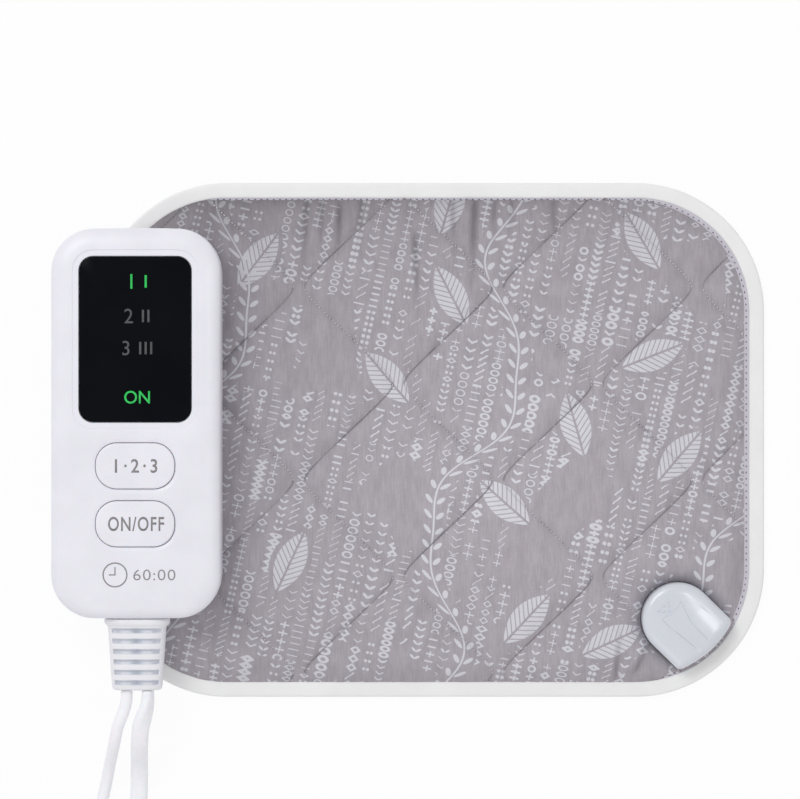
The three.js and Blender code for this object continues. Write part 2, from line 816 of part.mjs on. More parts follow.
// Section of the boot, an oval round both cords. A groove sinks into its top and its
// underside, deepest between the cords, and ends before the sides.
function bootSection(radius, depth = 0) {
  const middle = cordSpacing / 2;
  return [1, -1].flatMap(side => {
    const lobe = Array.from({ length: bootLobeSteps + 1 }, (_, step) => {
      const angle = Math.PI * (step / bootLobeSteps - 1 / 2);
      const sunk = Math.cos(angle) < bootGrooveShare ? depth : 0;
      return new THREE.Vector2(
        side * (middle + radius * Math.cos(angle)),
        side * Math.sin(angle) * (bootHeightShare * radius - sunk));
    });
    return [...lobe, new THREE.Vector2(0, side * (bootHeightShare * radius - bootHumpShare * depth))];
  });
}

const bootWallStart = -(handsetWall + clearance);

function bootProfile() {
  const radiusAt = reach => THREE.MathUtils.mapLinear(
    reach, bootCollarLength, bootLength, bootStartRadius, bootTipRadius);
  const profile = [
    [bootWallStart - bootFlangeThickness, bootFlangeRadius],
    [bootWallStart, bootFlangeRadius],
    [bootWallStart, bootNeckRadius],
    [clearance, bootNeckRadius],
    [clearance, bootCollarRadius],
    [bootCollarLength, bootCollarRadius],
    [bootCollarLength, bootStartRadius],
  ];
  for (let groove = 0; groove < bootGrooves; groove += 1) {
    const middle = bootFirstGroove + groove * bootGroovePitch;
    const [near, far] = [middle - bootGrooveWidth / 2, middle + bootGrooveWidth / 2];
    profile.push([near, radiusAt(near)]);
    profile.push([near + bootGrooveWidth / 4, radiusAt(near), bootGrooveDepth]);
    profile.push([far - bootGrooveWidth / 4, radiusAt(far), bootGrooveDepth]);
    profile.push([far, radiusAt(far)]);
  }
  profile.push([bootLength - bootTipRound, bootTipRadius]);
  profile.push([bootLength, bootTipRadius - bootTipRound]);
  return profile;
}

const endFaceY = -handsetLength / 2;
const placeAtExit = geometry => outwards(geometry).translate(0, endFaceY, partingLevel);

function strainRelief() {
  return placeAtExit(loft(bootProfile().map(
    ([reach, radius, depth]) => ringAt(bootSection(radius, depth), reach))));
}

function frontShell() {
  const well = keyOutline(clearance);
  const wellDish = keyOutline(clearance + dishWidth);
  const above = handsetHeight + cutOverrun;
  const frame = plate(windowOutline(2 * windowLedge), frameFoot, innerTop + bossRoot)
    .translate(0, windowPlaceY, 0);
  const bosses = screwPlaces.map(([x, y]) => rod(
    bossDiameter, partingLevel + handsetPartingGap / 2, innerTop + bossRoot).translate(x, y, 0));
  const screwTip = screwRecess + screwHeadHeight + screwLength;
  const pilots = screwPlaces.map(([x, y]) => rod(
    screwShank + 2 * clearance, 0, screwTip + clearance).translate(x, y, 0));
  const keyCuts = [modeButtonY, powerButtonY].flatMap(y => [
    plate(well, frameFoot, above).translate(0, y, 0),
    loft([
      ringAt(well, handsetHeight - dishDepth),
      ringAt(wellDish, handsetHeight),
      ringAt(wellDish, above),
    ]).translate(0, y, 0),
  ]);
  const windowCuts = [
    plate(windowOutline(bezelWidth), windowTop, above),
    plate(windowOutline(clearance), windowFoot - clearance, above),
    plate(windowOutline(-windowLedge), frameFoot - cutOverrun, above),
  ].map(geometry => geometry.translate(0, windowPlaceY, 0));
  const mouth = placeAtExit(plate(
    bootSection(bootNeckRadius + clearance), bootWallStart - handsetWall, handsetEndBow + cutOverrun));
  return cut(join(caseHalf(), frame, ...bosses), ...pilots, ...keyCuts, ...windowCuts, mouth);
}

function rearShell() {
  const half = caseHalf();
  half.applyMatrix4(new THREE.Matrix4().makeRotationY(Math.PI)).translate(0, 0, handsetHeight);
  const rim = partingLevel - handsetPartingGap / 2;
  const bosses = screwPlaces.map(([x, y]) => rod(bossDiameter, bossRoot, rim).translate(x, y, 0));
  const posts = [[1, 1], [-1, 1], [-1, -1], [1, -1]].map(([sideX, sideY]) => rod(
    postDiameter, bossRoot, boardHeight - seatGap, postSides,
  ).translate(sideX * postPlaceX, sideY * postPlaceY, 0));
  const holes = screwPlaces.map(([x, y]) => rod(
    screwShank + 2 * clearance, -cutOverrun, handsetHeight).translate(x, y, 0));
  const sinks = screwPlaces.map(([x, y]) => rod(
    screwHead + 2 * clearance, -cutOverrun, screwRecess + screwHeadHeight + clearance).translate(x, y, 0));
  const mouth = placeAtExit(plate(
    bootSection(bootNeckRadius + clearance), bootWallStart - handsetWall, handsetEndBow + cutOverrun));
  return cut(join(half, ...bosses, ...posts), ...holes, ...sinks, mouth);
}

function key() {
  const faceLevel = handsetHeight + buttonProud;
  const edgeSteps = 3;
  const edge = Array.from({ length: edgeSteps + 1 }, (_, step) => {
    const angle = step / edgeSteps * Math.PI / 2;
    return [buttonEdgeRadius * (1 - Math.cos(angle)), faceLevel - buttonEdgeRadius * (1 - Math.sin(angle))];
  });
  const cap = loft(insetStack(inset => keyOutline(-inset), [
    [-buttonFlange, flangeTop - buttonFlangeThickness],
    [-buttonFlange, flangeTop],
    [0, flangeTop],
    ...edge,
  ]));
  const stem = rod(buttonStem, plungerFoot + plungerHeight + clearance, flangeTop);
  return join(cap, stem);
}

function lightMask() {
  const body = plate(windowOutline(-maskMargin), partsLevel, frameFoot - clearance);
  const cells = ledRowShares.map(share => block(
    windowWidth - 2 * maskSideRoom, maskCellShare * windowLength, 2 * handsetHeight,
  ).translate(0, share * windowLength, 0));
  return cut(body, ...cells).translate(0, windowPlaceY, 0);
}

function switchBody() {
  const body = block(switchSize, switchSize, switchHeight).translate(0, 0, switchTop - switchHeight / 2);
  const pocket = rod(
    plungerDiameter + 2 * clearance, plungerFoot - buttonTravel - clearance, switchTop + cutOverrun);
  return cut(body, pocket);
}

// A part that lies on the board's top, or hangs from its underside, placed by shares of the board
const onBoard = (geometry, height, [acrossShare, alongShare]) => geometry.translate(
  acrossShare * boardWidth, alongShare * boardLength, partsLevel + height / 2);
const underBoard = (geometry, height, [acrossShare, alongShare]) => geometry.translate(
  acrossShare * boardWidth, alongShare * boardLength, boardHeight - seatGap - height / 2);

function innerLead(side, lane) {
  const start = new THREE.Vector3(
    side * cordSpacing / 2 + lane * (leadDiameter / 2 + clearance),
    endFaceY - bootWallStart + bootFlangeThickness + clearance, partingLevel);
  const end = new THREE.Vector3(
    (side * leadSpreadShare + lane * leadLaneShare) * boardWidth,
    leadReachShare * boardLength - boardLength / 2, partsLevel + leadDiameter / 2);
  const middle = start.clone().lerp(end, 0.5);
  middle.z = end.z + leadRise;
  const route = new THREE.CatmullRomCurve3([start, middle, end]);
  return new THREE.ExtrudeGeometry(new THREE.Shape(circle(leadDiameter, leadSides)), {
    steps: leadSteps, extrudePath: route,
  });
}

function addHandset(part) {
  const handset = new THREE.Group();
  handset.position.set(handsetPlaceX, handsetPlaceY, frontCrownLevel + seatGap);
  handset.add(piece('rear_shell', rearShell(), paleGloss));
  handset.add(piece('front_shell', frontShell(), paleGloss));
  handset.add(piece('strain_relief', strainRelief(), cordWhite));

  const glass = plate(windowOutline(0), windowFoot, windowTop);
  handset.add(piece('display_window', glass.translate(0, windowPlaceY, 0), darkWindow));
  handset.add(piece('light_mask', lightMask(), insulator));
  ledRowShares.forEach((share, index) => {
    const led = block(ledLength, ledWidth, ledHeight);
    led.translate(0, windowPlaceY + share * windowLength, partsLevel + ledHeight / 2);
    handset.add(piece(`led_${index + 1}`, led, lightGreen));
  });

  const board = plate(
    roundedRectangle(boardWidth, boardLength, boardRadius, 3), boardHeight, boardTop);
  handset.add(piece('circuit_board', board, boardGreen));
  const chip = onBoard(block(chipLength, chipWidth, chipHeight), chipHeight, chipPlaceShares);
  handset.add(piece('mcu_chip', chip, insulator));
  const triac = underBoard(block(triacWidth, triacLength, triacHeight), triacHeight, triacPlaceShares);
  handset.add(piece('power_triac', triac, insulator));
  const capacitor = block(capacitorWidth, capacitorLength, capacitorHeight);
  handset.add(piece(
    'film_capacitor', underBoard(capacitor, capacitorHeight, capacitorPlaceShares), amberFilm));
  const fuse = alongX(circle(fuseDiameter, roundSides), -fuseLength / 2, fuseLength / 2);
  handset.add(piece('fuse', underBoard(fuse, fuseDiameter, fusePlaceShares), metal));

  [['mode_button', modeButtonY], ['power_button', powerButtonY]].forEach(([name, y], index) => {
    handset.add(piece(name, key().translate(0, y, 0), paleGloss));
    handset.add(piece(`switch_body_${index + 1}`, switchBody().translate(0, y, 0), insulator));
    const plunger = rod(plungerDiameter, plungerFoot, plungerFoot + plungerHeight);
    handset.add(piece(`switch_plunger_${index + 1}`, plunger.translate(0, y, 0), insulator));
  });
  screwPlaces.forEach(([x, y], index) => {
    const screw = screwBody(screwHead, screwHeadHeight, screwShank, screwLength);
    handset.add(piece(`case_screw_${index + 1}`, screw.translate(x, y, screwRecess), metal));
  });
  [[-1, -1], [-1, 1], [1, -1], [1, 1]].forEach(([side, lane], index) => {
    handset.add(piece(`inner_lead_${index + 1}`, innerLead(side, lane), cordWhite));
  });
  part.add(handset);
}

// Routes of the two cords from the boot to their coils: straight out, down to the table,
// and along it
const flexRoute = [
  [-120, -109.5, 20.5], [-120.6, -113.3, 20.5], [-121.8, -117.2, 20.4], [-123, -121, 19.7],
  [-123.5, -125, 18.4], [-123.9, -129, 16.2], [-124.2, -133, 13], [-124.5, -137, 9],
  [-124.7, -141, 6.1], [-124.9, -145, 4.2], [-125, -149, 3.1], [-125.2, -153, 2.6],
  [-125.4, -158, 2.5], [-125.8, -168, 2.5], [-126.3, -180, 2.5], [-126.8, -195, 2.5],
];
const padLeadRoute = [
  [-129, -109.5, 20.5], [-129.8, -113.3, 20.5], [-131.2, -117.2, 20.4], [-132.7, -121, 19.7],
  [-133.7, -125, 18.4], [-134.6, -129, 16.2], [-135.7, -133, 13], [-136.8, -137, 9],
  [-137.8, -141, 6.2], [-138.7, -145, 4.3], [-139.6, -149, 3.2], [-140.5, -153, 2.7],
  [-141.6, -158, 2.6], [-143.6, -166, 2.6], [-145.6, -175, 2.6], [-147.3, -185, 2.6],
];

// A coil in two layers: it winds in, climbs while it turns back, and winds out again.
// Its ends run on straight, square to what they meet.
function coilRoute({ x, y, meanRadius, turns, width, height, startAngle, turning }) {
  const pitch = width + coilGap;
  const outerRadius = meanRadius + pitch * turns / 4;
  const layerTurns = (turns - climbTurns) / 2;
  const steps = Math.round(turns * coilSteps);
  const points = Array.from({ length: steps + 1 }, (_, step) => {
    const turn = step / steps * turns;
    const wound = Math.min(turn, turns - turn);
    const climb = THREE.MathUtils.smoothstep(turn, layerTurns, layerTurns + climbTurns);
    const angle = startAngle + turning * turn * Math.PI * 2;
    const radius = outerRadius - pitch * wound;
    return new THREE.Vector3(
      x + radius * Math.cos(angle), y + radius * Math.sin(angle),
      height / 2 + climb * (height + coilGap));
  });
  const heading = angle => new THREE.Vector3(-Math.sin(angle), Math.cos(angle), 0)
    .multiplyScalar(turning * width);
  points.unshift(points[0].clone().sub(heading(startAngle)));
  points.push(points.at(-1).clone().add(heading(startAngle + turning * turns * Math.PI * 2)));
  return points;
}

// Least gap between one turn of a coil and the next, measured on the points of its skin
function leastGap(geometry, sides, stepsApart) {
  const place = geometry.attributes.position;
  const point = new THREE.Vector3();
  const other = new THREE.Vector3();
  const rings = Math.floor(place.count / sides);
  let least = Infinity;
  for (let i = 0; i < rings * sides; i += 1) {
    point.fromBufferAttribute(place, i);
    for (let j = (Math.floor(i / sides) + stepsApart) * sides; j < rings * sides; j += 1) {
      least = Math.min(least, point.distanceTo(other.fromBufferAttribute(place, j)));
    }
  }
  return least;
}

const coilSides = 6;
function coil(name, route, width, height) {
  const geometry = sweep(route, width, height, coilSides);
  const gap = leastGap(geometry, coilSides, coilSteps / 2);
  console.log(`${name}: least gap to itself ${gap.toFixed(2)} mm`);
  return piece(name, geometry, cordWhite);
}

// A free stretch: a tube along a smooth curve, with its ends a seat gap from what they meet
function freeCord(name, points, width, height, steps) {
  const route = new THREE.CatmullRomCurve3(points);
  const section = circle(1, freeSides).map(point => new THREE.Vector2(point.x * height, point.y * width));
  const tube = new THREE.ExtrudeGeometry(new THREE.Shape(section), { steps, extrudePath: route });
  return piece(name, tube, cordWhite);
}

const shifted = (point, heading, distance) => point.clone().addScaledVector(heading, distance);

// A moulded plug that grows from the cord to its full section
function plugBody(width, height, entryWidth, entryHeight, taperLength, bodyLength) {
  const section = (share, shrink) => {
    const across = THREE.MathUtils.lerp(entryWidth, width, share) - 2 * shrink;
    const tall = THREE.MathUtils.lerp(entryHeight, height, share) - 2 * shrink;
    return roundedRectangle(across, tall, plugRoundShare * tall, 3);
  };
  const end = taperLength + bodyLength;
  return loft([
    ...plugGrowthShares.map(([reachShare, growthShare]) => ringAt(
      section(growthShare, 0), reachShare * taperLength)),
    ringAt(section(1, 0), end - plugEndRound),
    ringAt(section(1, plugEndRound), end),
  ]);
}

const rectangle = (length, width) => [[1, 1], [-1, 1], [-1, -1], [1, -1]].map(
  ([sideX, sideY]) => new THREE.Vector2(sideX * length / 2, sideY * width / 2));

function addMainsFlex(part) {
  const route = coilRoute({
    x: flexCoilX, y: flexCoilY, meanRadius: flexCoilMeanRadius, turns: flexCoilTurns,
    width: flexWidth, height: flexThickness, startAngle: Math.PI, turning: 1,
  });
  const exit = new THREE.Vector3(
    handsetPlaceX + cordSpacing / 2, handsetPlaceY + endFaceY - bootLength - seatGap,
    frontCrownLevel + seatGap + partingLevel);
  const along = flexRoute.map(point => new THREE.Vector3(...point));
  const free = [exit, ...along, shifted(route[0], axisY, seatGap)];
  part.add(freeCord('mains_flex', free, flexWidth, flexThickness, flexFreeSteps));
  part.add(coil('mains_flex_coil', route, flexWidth, flexThickness));

  const tailStart = shifted(route.at(-1), axisX, seatGap);
  const plugLevel = Math.max(tailStart.z, plugThickness / 2);
  const tailEnd = shifted(tailStart, axisX, flexTailLength).setZ(plugLevel);
  const tail = [tailStart, tailStart.clone().lerp(tailEnd, 0.5), tailEnd];
  part.add(freeCord('mains_flex_tail', tail, flexWidth, flexThickness, tailSteps));

  const plug = new THREE.Group();
  plug.position.copy(shifted(tailEnd, axisX, seatGap));
  const face = plugTaperLength + plugBodyLength;
  const entry = 2 * plugEntryWall;
  const body = plugBody(
    plugWidth, plugThickness, flexWidth + entry, flexThickness + entry, plugTaperLength, plugBodyLength);
  const bladeSides = [1, -1].map(side => side * bladeSpacing / 2);
  const pockets = bladeSides.map(offset => plate(
    rectangle(bladeThickness + 2 * clearance, bladeWidth + 2 * clearance),
    face - bladeSeat, face + cutOverrun,
  ).translate(offset, 0, 0));
  const layOver = new THREE.Matrix4().makeBasis(axisY, axisZ, axisX);
  plug.add(piece('mains_plug', cut(body, ...pockets).applyMatrix4(layOver), cordWhite));
  bladeSides.forEach((offset, index) => {
    const blade = loft([
      ringAt(rectangle(bladeThickness, bladeWidth), face - bladeSeat + seatGap),
      ringAt(rectangle(bladeThickness, bladeWidth), face + bladeLength - bladeNose),
      ringAt(rectangle(bladeThickness / 2, bladeWidth - bladeNose), face + bladeLength),
    ]).translate(offset, 0, 0);
    plug.add(piece(`mains_blade_${index + 1}`, blade.applyMatrix4(layOver), brass));
  });
  part.add(plug);
}

function addPadLead(part) {
  const route = coilRoute({
    x: padLeadCoilX, y: padLeadCoilY, meanRadius: padLeadCoilMeanRadius, turns: padLeadCoilTurns,
    width: padLeadDiameter, height: padLeadDiameter, startAngle: 0, turning: -1,
  });
  const exit = new THREE.Vector3(
    handsetPlaceX - cordSpacing / 2, handsetPlaceY + endFaceY - bootLength - seatGap,
    frontCrownLevel + seatGap + partingLevel);
  const along = padLeadRoute.map(point => new THREE.Vector3(...point));
  const free = [exit, ...along, shifted(route[0], axisY, seatGap)];
  part.add(freeCord('pad_lead', free, padLeadDiameter, padLeadDiameter, padLeadFreeSteps));
  part.add(coil('pad_lead_coil', route, padLeadDiameter, padLeadDiameter));

  const tailStart = shifted(route.at(-1), axisY, -seatGap);
  const tailEnd = shifted(tailStart, axisY, -padLeadTailLength).setZ(padPlugHeight / 2);
  const settle = shifted(tailStart, axisY, -padLeadTailLength / 4);
  const land = shifted(tailEnd, axisY, padLeadTailLength / 4);
  part.add(freeCord(
    'pad_lead_tail', [tailStart, settle, land, tailEnd], padLeadDiameter, padLeadDiameter, tailSteps));

  const plug = new THREE.Group();
  plug.position.copy(shifted(tailEnd, axisY, -seatGap));
  const face = padPlugTaperLength + padPlugLength;
  const entry = padLeadDiameter + 2 * plugEntryWall;
  const body = plugBody(padPlugWidth, padPlugHeight, entry, entry, padPlugTaperLength, padPlugLength);
  const tongueOutline = inset => roundedRectangle(
    socketMouthWidth - 2 * inset, socketMouthHeight - 2 * inset, socketMouthRadius - inset, 2);
  const pocket = plate(tongueOutline(0), face - tongueSeat - seatGap, face + cutOverrun);
  plug.add(piece('pad_plug_shell', outwards(cut(body, pocket)), socketGloss));
  const bores = [-1, 0, 1].map(step => rod(
    contactPinDiameter + 2 * clearance, face + tongueLength - contactPinLength - clearance,
    face + tongueLength + cutOverrun, contactPinSides).translate(step * contactPinPitch, 0, 0));
  const tongue = plate(tongueOutline(clearance), face - tongueSeat, face + tongueLength);
  plug.add(piece('pad_plug_tongue', outwards(cut(tongue, ...bores)), insulator));
  part.add(plug);
}

const heatingPad = new THREE.Group();
addPad(heatingPad);
addSocket(heatingPad);
addHandset(heatingPad);
addMainsFlex(heatingPad);
addPadLead(heatingPad);

// The origin is under the middle of the pad and its controller, on the table
const reachLeft = Math.min(-padLength / 2, handsetPlaceX - handsetWidth / 2);
heatingPad.position.x = -(reachLeft + padLength / 2) / 2;

export default heatingPad;
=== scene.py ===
"""A heating pad with a wired hand controller, dressed around its packed frame.

The frame holds every rigid piece at its real size. This file gives them their finishes and
makes the cloth, the binding, the seams, the cords and the finer mouldings that stand for the
plain solids.
"""

import functools
import math

import bmesh
import bpy
import numpy as np
from bpy.props import FloatProperty, FloatVectorProperty, IntProperty, PointerProperty
from mathutils import Matrix, Vector
from mathutils.geometry import delaunay_2d_cdt


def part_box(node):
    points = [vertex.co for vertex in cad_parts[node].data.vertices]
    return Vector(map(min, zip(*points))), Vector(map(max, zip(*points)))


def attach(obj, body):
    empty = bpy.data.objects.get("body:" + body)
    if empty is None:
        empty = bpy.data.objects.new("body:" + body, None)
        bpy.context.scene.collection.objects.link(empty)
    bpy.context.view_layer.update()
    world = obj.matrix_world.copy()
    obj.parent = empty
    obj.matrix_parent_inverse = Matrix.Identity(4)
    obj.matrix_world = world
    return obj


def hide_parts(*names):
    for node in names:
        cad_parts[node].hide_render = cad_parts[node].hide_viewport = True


bl_info = {
    "name": "Heating pad",
    "version": (1, 0, 0),
    "blender": (4, 5, 0),
    "location": "View3D > Sidebar > Heating pad",
    "description": "Cloth, mouldings, cords and finishes of a heating pad with a hand controller",
    "category": "Object",
}

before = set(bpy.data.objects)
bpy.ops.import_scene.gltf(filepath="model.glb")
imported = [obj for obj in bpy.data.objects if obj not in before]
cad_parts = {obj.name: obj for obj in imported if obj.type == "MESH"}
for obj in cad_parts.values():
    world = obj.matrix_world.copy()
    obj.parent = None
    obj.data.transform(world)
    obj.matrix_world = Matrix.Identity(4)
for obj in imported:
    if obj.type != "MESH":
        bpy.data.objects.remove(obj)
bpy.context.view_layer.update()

MM = 0.001
TURN = 2 * math.pi


def srgb(red, green, blue):
    """A colour written as on a screen, 0 to 255, as the linear colour that Blender keeps."""
    def channel(value):
        share = value / 255
        return share / 12.92 if share <= 0.04045 else ((share + 0.055) / 1.055) ** 2.4

    return (channel(red), channel(green), channel(blue), 1.0)


def size(name, description, millimetres):
    """A length that a user may change."""
    return FloatProperty(
        name=name, description=description, default=millimetres * MM, unit="LENGTH")


def colour(name, description, red, green, blue):
    """A colour that a user may change."""
    return FloatVectorProperty(
        name=name, description=description, default=srgb(red, green, blue),
        subtype="COLOR", size=4, min=0, max=1)


def middle_of(node):
    """Middle, size and lowest corner of a node of the frame."""
    low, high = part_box(node)
    return (low + high) / 2, high - low, low


PAD_MIDDLE, PAD_SIZE, _ = middle_of("edge_binding")
PAD_CENTRE = np.array([PAD_MIDDLE.x, PAD_MIDDLE.y])
CASE_MIDDLE, CASE_SIZE, _ = middle_of("rear_shell")
CASE_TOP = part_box("front_shell")[1].z
WINDOW_MIDDLE, WINDOW_SIZE, _ = middle_of("display_window")
WINDOW_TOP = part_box("display_window")[1].z

# Corners of a square, in turn
SQUARE = [(-1, -1), (1, -1), (1, 1), (-1, 1)]

# How far a fold shapes the cloth to each side of it
FOLD_REACH = 4 * MM

# The tips of the zigzag seams are sharp at 1 and rounder below it
SEAM_TIPS = 0.965

# Distance from a slanting seam, as a share of the distance measured across the pad
SEAM_SLANT = 0.74

# The boot's slots: from the case to the first, from one to the next, and how far the cores of the
# two cords lie from the boot's middle, in millimetres
BOOT_FIRST_SLOT = 5.2
BOOT_SLOT_PITCH = 4.4
BOOT_CORES = 4.5

# How thick a printed or lit sign stands on its piece
SIGN_DEPTH = 0.04 * MM

# Room round a blade or a tongue in the plug that holds it
PLUG_ROOM = 0.3 * MM

# The cloth solver is tuned for pieces of a few metres, so the sheet is simulated enlarged
SIMULATION_SCALE = 10
SIMULATION_FRAMES = 24


class PadSettings(bpy.types.PropertyGroup):
    """The pad's cloth, quilting and rim."""

    corner_radius: size("Corner radius", "Radius of the pad's corners", 55)
    binding_width: size("Binding width", "Width of the tape that shows on the face", 6.5)
    tuck: size("Tuck", "How far the cloth runs in under the tape", 1.2)
    rim_level: size("Rim level", "Height of the cloth where it goes under the tape", 2.75)
    channel_level: size("Channel level", "Height of the cloth at a quilting seam", 6.8)
    crown_level: size("Crown level", "Most height of the puffed cloth", 8.3)
    rim_slope: size("Rim slope", "Width of the slope from the rim to full height", 13)
    lip_width: size("Lip width", "Width of the tape's inner lip where it shows", 1.9)
    quilt_pitch: size("Quilt pitch", "Distance between two columns of diamonds", 42.5)
    quilt_row: size("Quilt row", "Half the height of one diamond", 41.2)
    quilt_swing: size("Quilt swing", "How far a seam swings to each side", 18.75)
    quilt_origin: FloatVectorProperty(
        name="Quilt origin", description="A place on the pad where two seams nearly meet",
        default=(-14 * MM, 24 * MM), size=2, unit="LENGTH")
    cloth_step: size("Cloth step", "Distance between two points of the cloth", 2.0)
    slack: FloatProperty(
        name="Slack", description="How much larger the cloth is than what it covers", default=0.007)
    padding_hold: FloatProperty(
        name="Padding hold", description="How firmly the padding holds the cloth", default=0.22)
    stitch_pitch: size("Stitch pitch", "Distance from one stitch to the next", 1.55)
    stitch_length: size("Stitch length", "Length of the thread that shows of one stitch", 1.0)
    cloth_colour: colour("Cloth", "Ground colour of the cotton", 172, 166, 173)
    print_colour: colour("Print", "Colour of the printed motifs", 214, 214, 221)
    tape_colour: colour("Tape", "Colour of the edge binding", 243, 243, 243)
    thread_colour: colour("Thread", "Colour of the quilting thread", 226, 224, 228)


class CaseSettings(bpy.types.PropertyGroup):
    """The hand controller, its display and its keys."""

    corner_radius: size("Corner radius", "Radius of the case's corners", 17.5)
    end_bow: size("End bow", "How far the ends bow outwards", 0.9)
    edge_width: size("Edge width", "How far in from the side the rounding reaches", 8.5)
    edge_drop: size("Edge drop", "How far down the side the rounding reaches", 5)
    wall: size("Wall", "Thickness of the case's wall", 2.2)
    window_radius: size("Window radius", "Radius of the display's corners", 5.9)
    bezel_width: size("Bezel width", "Width of the shallow step around the display", 2.9)
    key_radius: size("Key radius", "Radius of a key's ends", 8.9)
    dish_width: size("Dish width", "Width of the hollow around a key", 1.9)
    dish_depth: size("Dish depth", "Depth of the hollow around a key", 0.55)
    fit: size("Fit", "Gap between a part and the opening that it sits in", 0.3)
    ledge: size("Ledge", "Width of the ledge under the display's rim", 1.6)
    key_flange: size("Key flange", "Width of the flange that keeps a key in", 1.2)
    key_edge: size("Key edge", "Rounding of a key's edge", 0.8)
    case_colour: colour("Case", "Colour of the moulded case", 234, 233, 241)
    legend_colour: colour("Legend", "Colour of the printed signs", 140, 136, 138)
    lit_colour: colour("Lit", "Colour of a lit sign", 20, 168, 72)
    unlit_colour: colour("Unlit", "Colour of an unlit sign", 72, 72, 75)
    window_colour: colour("Window", "Colour of the display's dark window", 9, 11, 15)


class CordSettings(bpy.types.PropertyGroup):
    """The two cords and what is on them."""

    flex_width: size("Flex width", "Width of the flat mains flex", 7.4)
    flex_thickness: size("Flex thickness", "Thickness of the flat mains flex", 4.9)
    lead_diameter: size("Lead diameter", "Diameter of the round lead to the pad", 5.06)
    coil_gap: size("Coil gap", "Gap between one turn of a coil and the next", 0.5)
    turn_points: IntProperty(
        name="Turn points", description="Points of the route in one turn of a coil",
        default=48, min=12)
    jacket_colour: colour("Jacket", "Colour of the cords", 247, 247, 252)


class SocketSettings(bpy.types.PropertyGroup):
    """The socket on the pad's corner."""

    radius: size("Radius", "Radius of the round inner end", 15.6)
    end_radius: size("End radius", "Radius of the outer end, which follows the pad's corner", 46.6)
    end_reach: size("End reach", "Length from the outer end's centre to the inner end's", 27.6)
    end_aside: size("End aside", "Offset of the outer end's centre across the socket", 2.8)
    corner: size("Corner", "Radius of the outer corners", 3)
    shoulder: size("Shoulder", "Width of the rounded shoulder", 4.4)
    shoulder_drop: size("Shoulder drop", "Height of the rounded shoulder", 2.8)
    turn: FloatProperty(
        name="Turn", description="Direction of the socket on the pad", default=math.radians(-44.3),
        subtype="ANGLE", unit="ROTATION")
    shell_colour: colour("Shell", "Colour of the socket's mouldings", 211, 215, 223)


class StageSettings(bpy.types.PropertyGroup):
    """Camera, lamps and floor."""

    camera_height: size("Camera height", "Height of the camera above the floor", 1430)
    camera_x: size("Camera X", "Place of the camera across the picture", -4.575)
    camera_y: size("Camera Y", "Place of the camera up the picture", 17.3)
    lens: FloatProperty(name="Lens", description="Focal length in millimetres", default=150, min=1)
    floor_colour: colour("Floor", "Colour of the floor", 244, 244, 246)


# Shapes


def eased(share):
    """A share from 0 to 1, with a gentle start and a gentle end."""
    return share * share * (3 - 2 * share)


def towards(angle):
    """Flat unit direction at an angle."""
    return np.array([math.cos(angle), math.sin(angle)])


def rounding(inset, level, reach, drop, count):
    """Insets and levels round a quarter oval, from upright to flat."""
    return [
        (inset + reach * (1 - math.cos(angle)), level - drop * (1 - math.sin(angle)))
        for angle in np.linspace(0, math.pi / 2, count)]


def rounded_track(length, width, radius, spacing):
    """Points along a rounded rectangle, evenly spaced, and the outward direction at each."""
    sides = [length - 2 * radius, width - 2 * radius]
    points, outwards = [], []
    bends = max(3, round(radius * TURN / 4 / spacing))
    for index, signs in enumerate([(1, 1), (-1, 1), (-1, -1), (1, -1)]):
        centre = np.array(signs) * [length / 2 - radius, width / 2 - radius]
        for step in range(bends):
            direction = towards((index + step / bends) * TURN / 4)
            points.append(centre + radius * direction)
            outwards.append(direction)
        straight = sides[index % 2]
        if straight <= 0:
            continue
        steps = max(1, round(straight / spacing))
        direction = towards((index + 1) * TURN / 4)
        along = np.array([-direction[1], direction[0]])
        for step in range(steps):
            points.append(centre + radius * direction + along * straight * step / steps)
            outwards.append(direction)
    return np.array(points), np.array(outwards)


def runs_along(line):
    """How far along a line each of its points lies."""
    return np.concatenate([[0], np.cumsum(np.linalg.norm(np.diff(line, axis=0), axis=1))])


def at_runs(line, wanted):
    """The places on a flat line at the wanted distances along it."""
    runs = runs_along(line)
    return np.column_stack([np.interp(wanted, runs, line[:, axis]) for axis in (0, 1)])


def at_level(flat, level):
    """Flat points as points at one height, or each at its own."""
    return np.column_stack([flat, np.broadcast_to(level, len(flat))])


def circle(radius, sides):
    """Flat points around a circle."""
    angles = np.arange(sides) / sides * TURN
    return np.column_stack([np.cos(angles), np.sin(angles)]) * radius


def added(name, data):
    """A new object in the scene."""
    made = bpy.data.objects.new(name, data)
    bpy.context.scene.collection.objects.link(made)
    return made


def evaluated(piece):
    """The piece as its modifiers make it."""
    return piece.evaluated_get(bpy.context.evaluated_depsgraph_get())


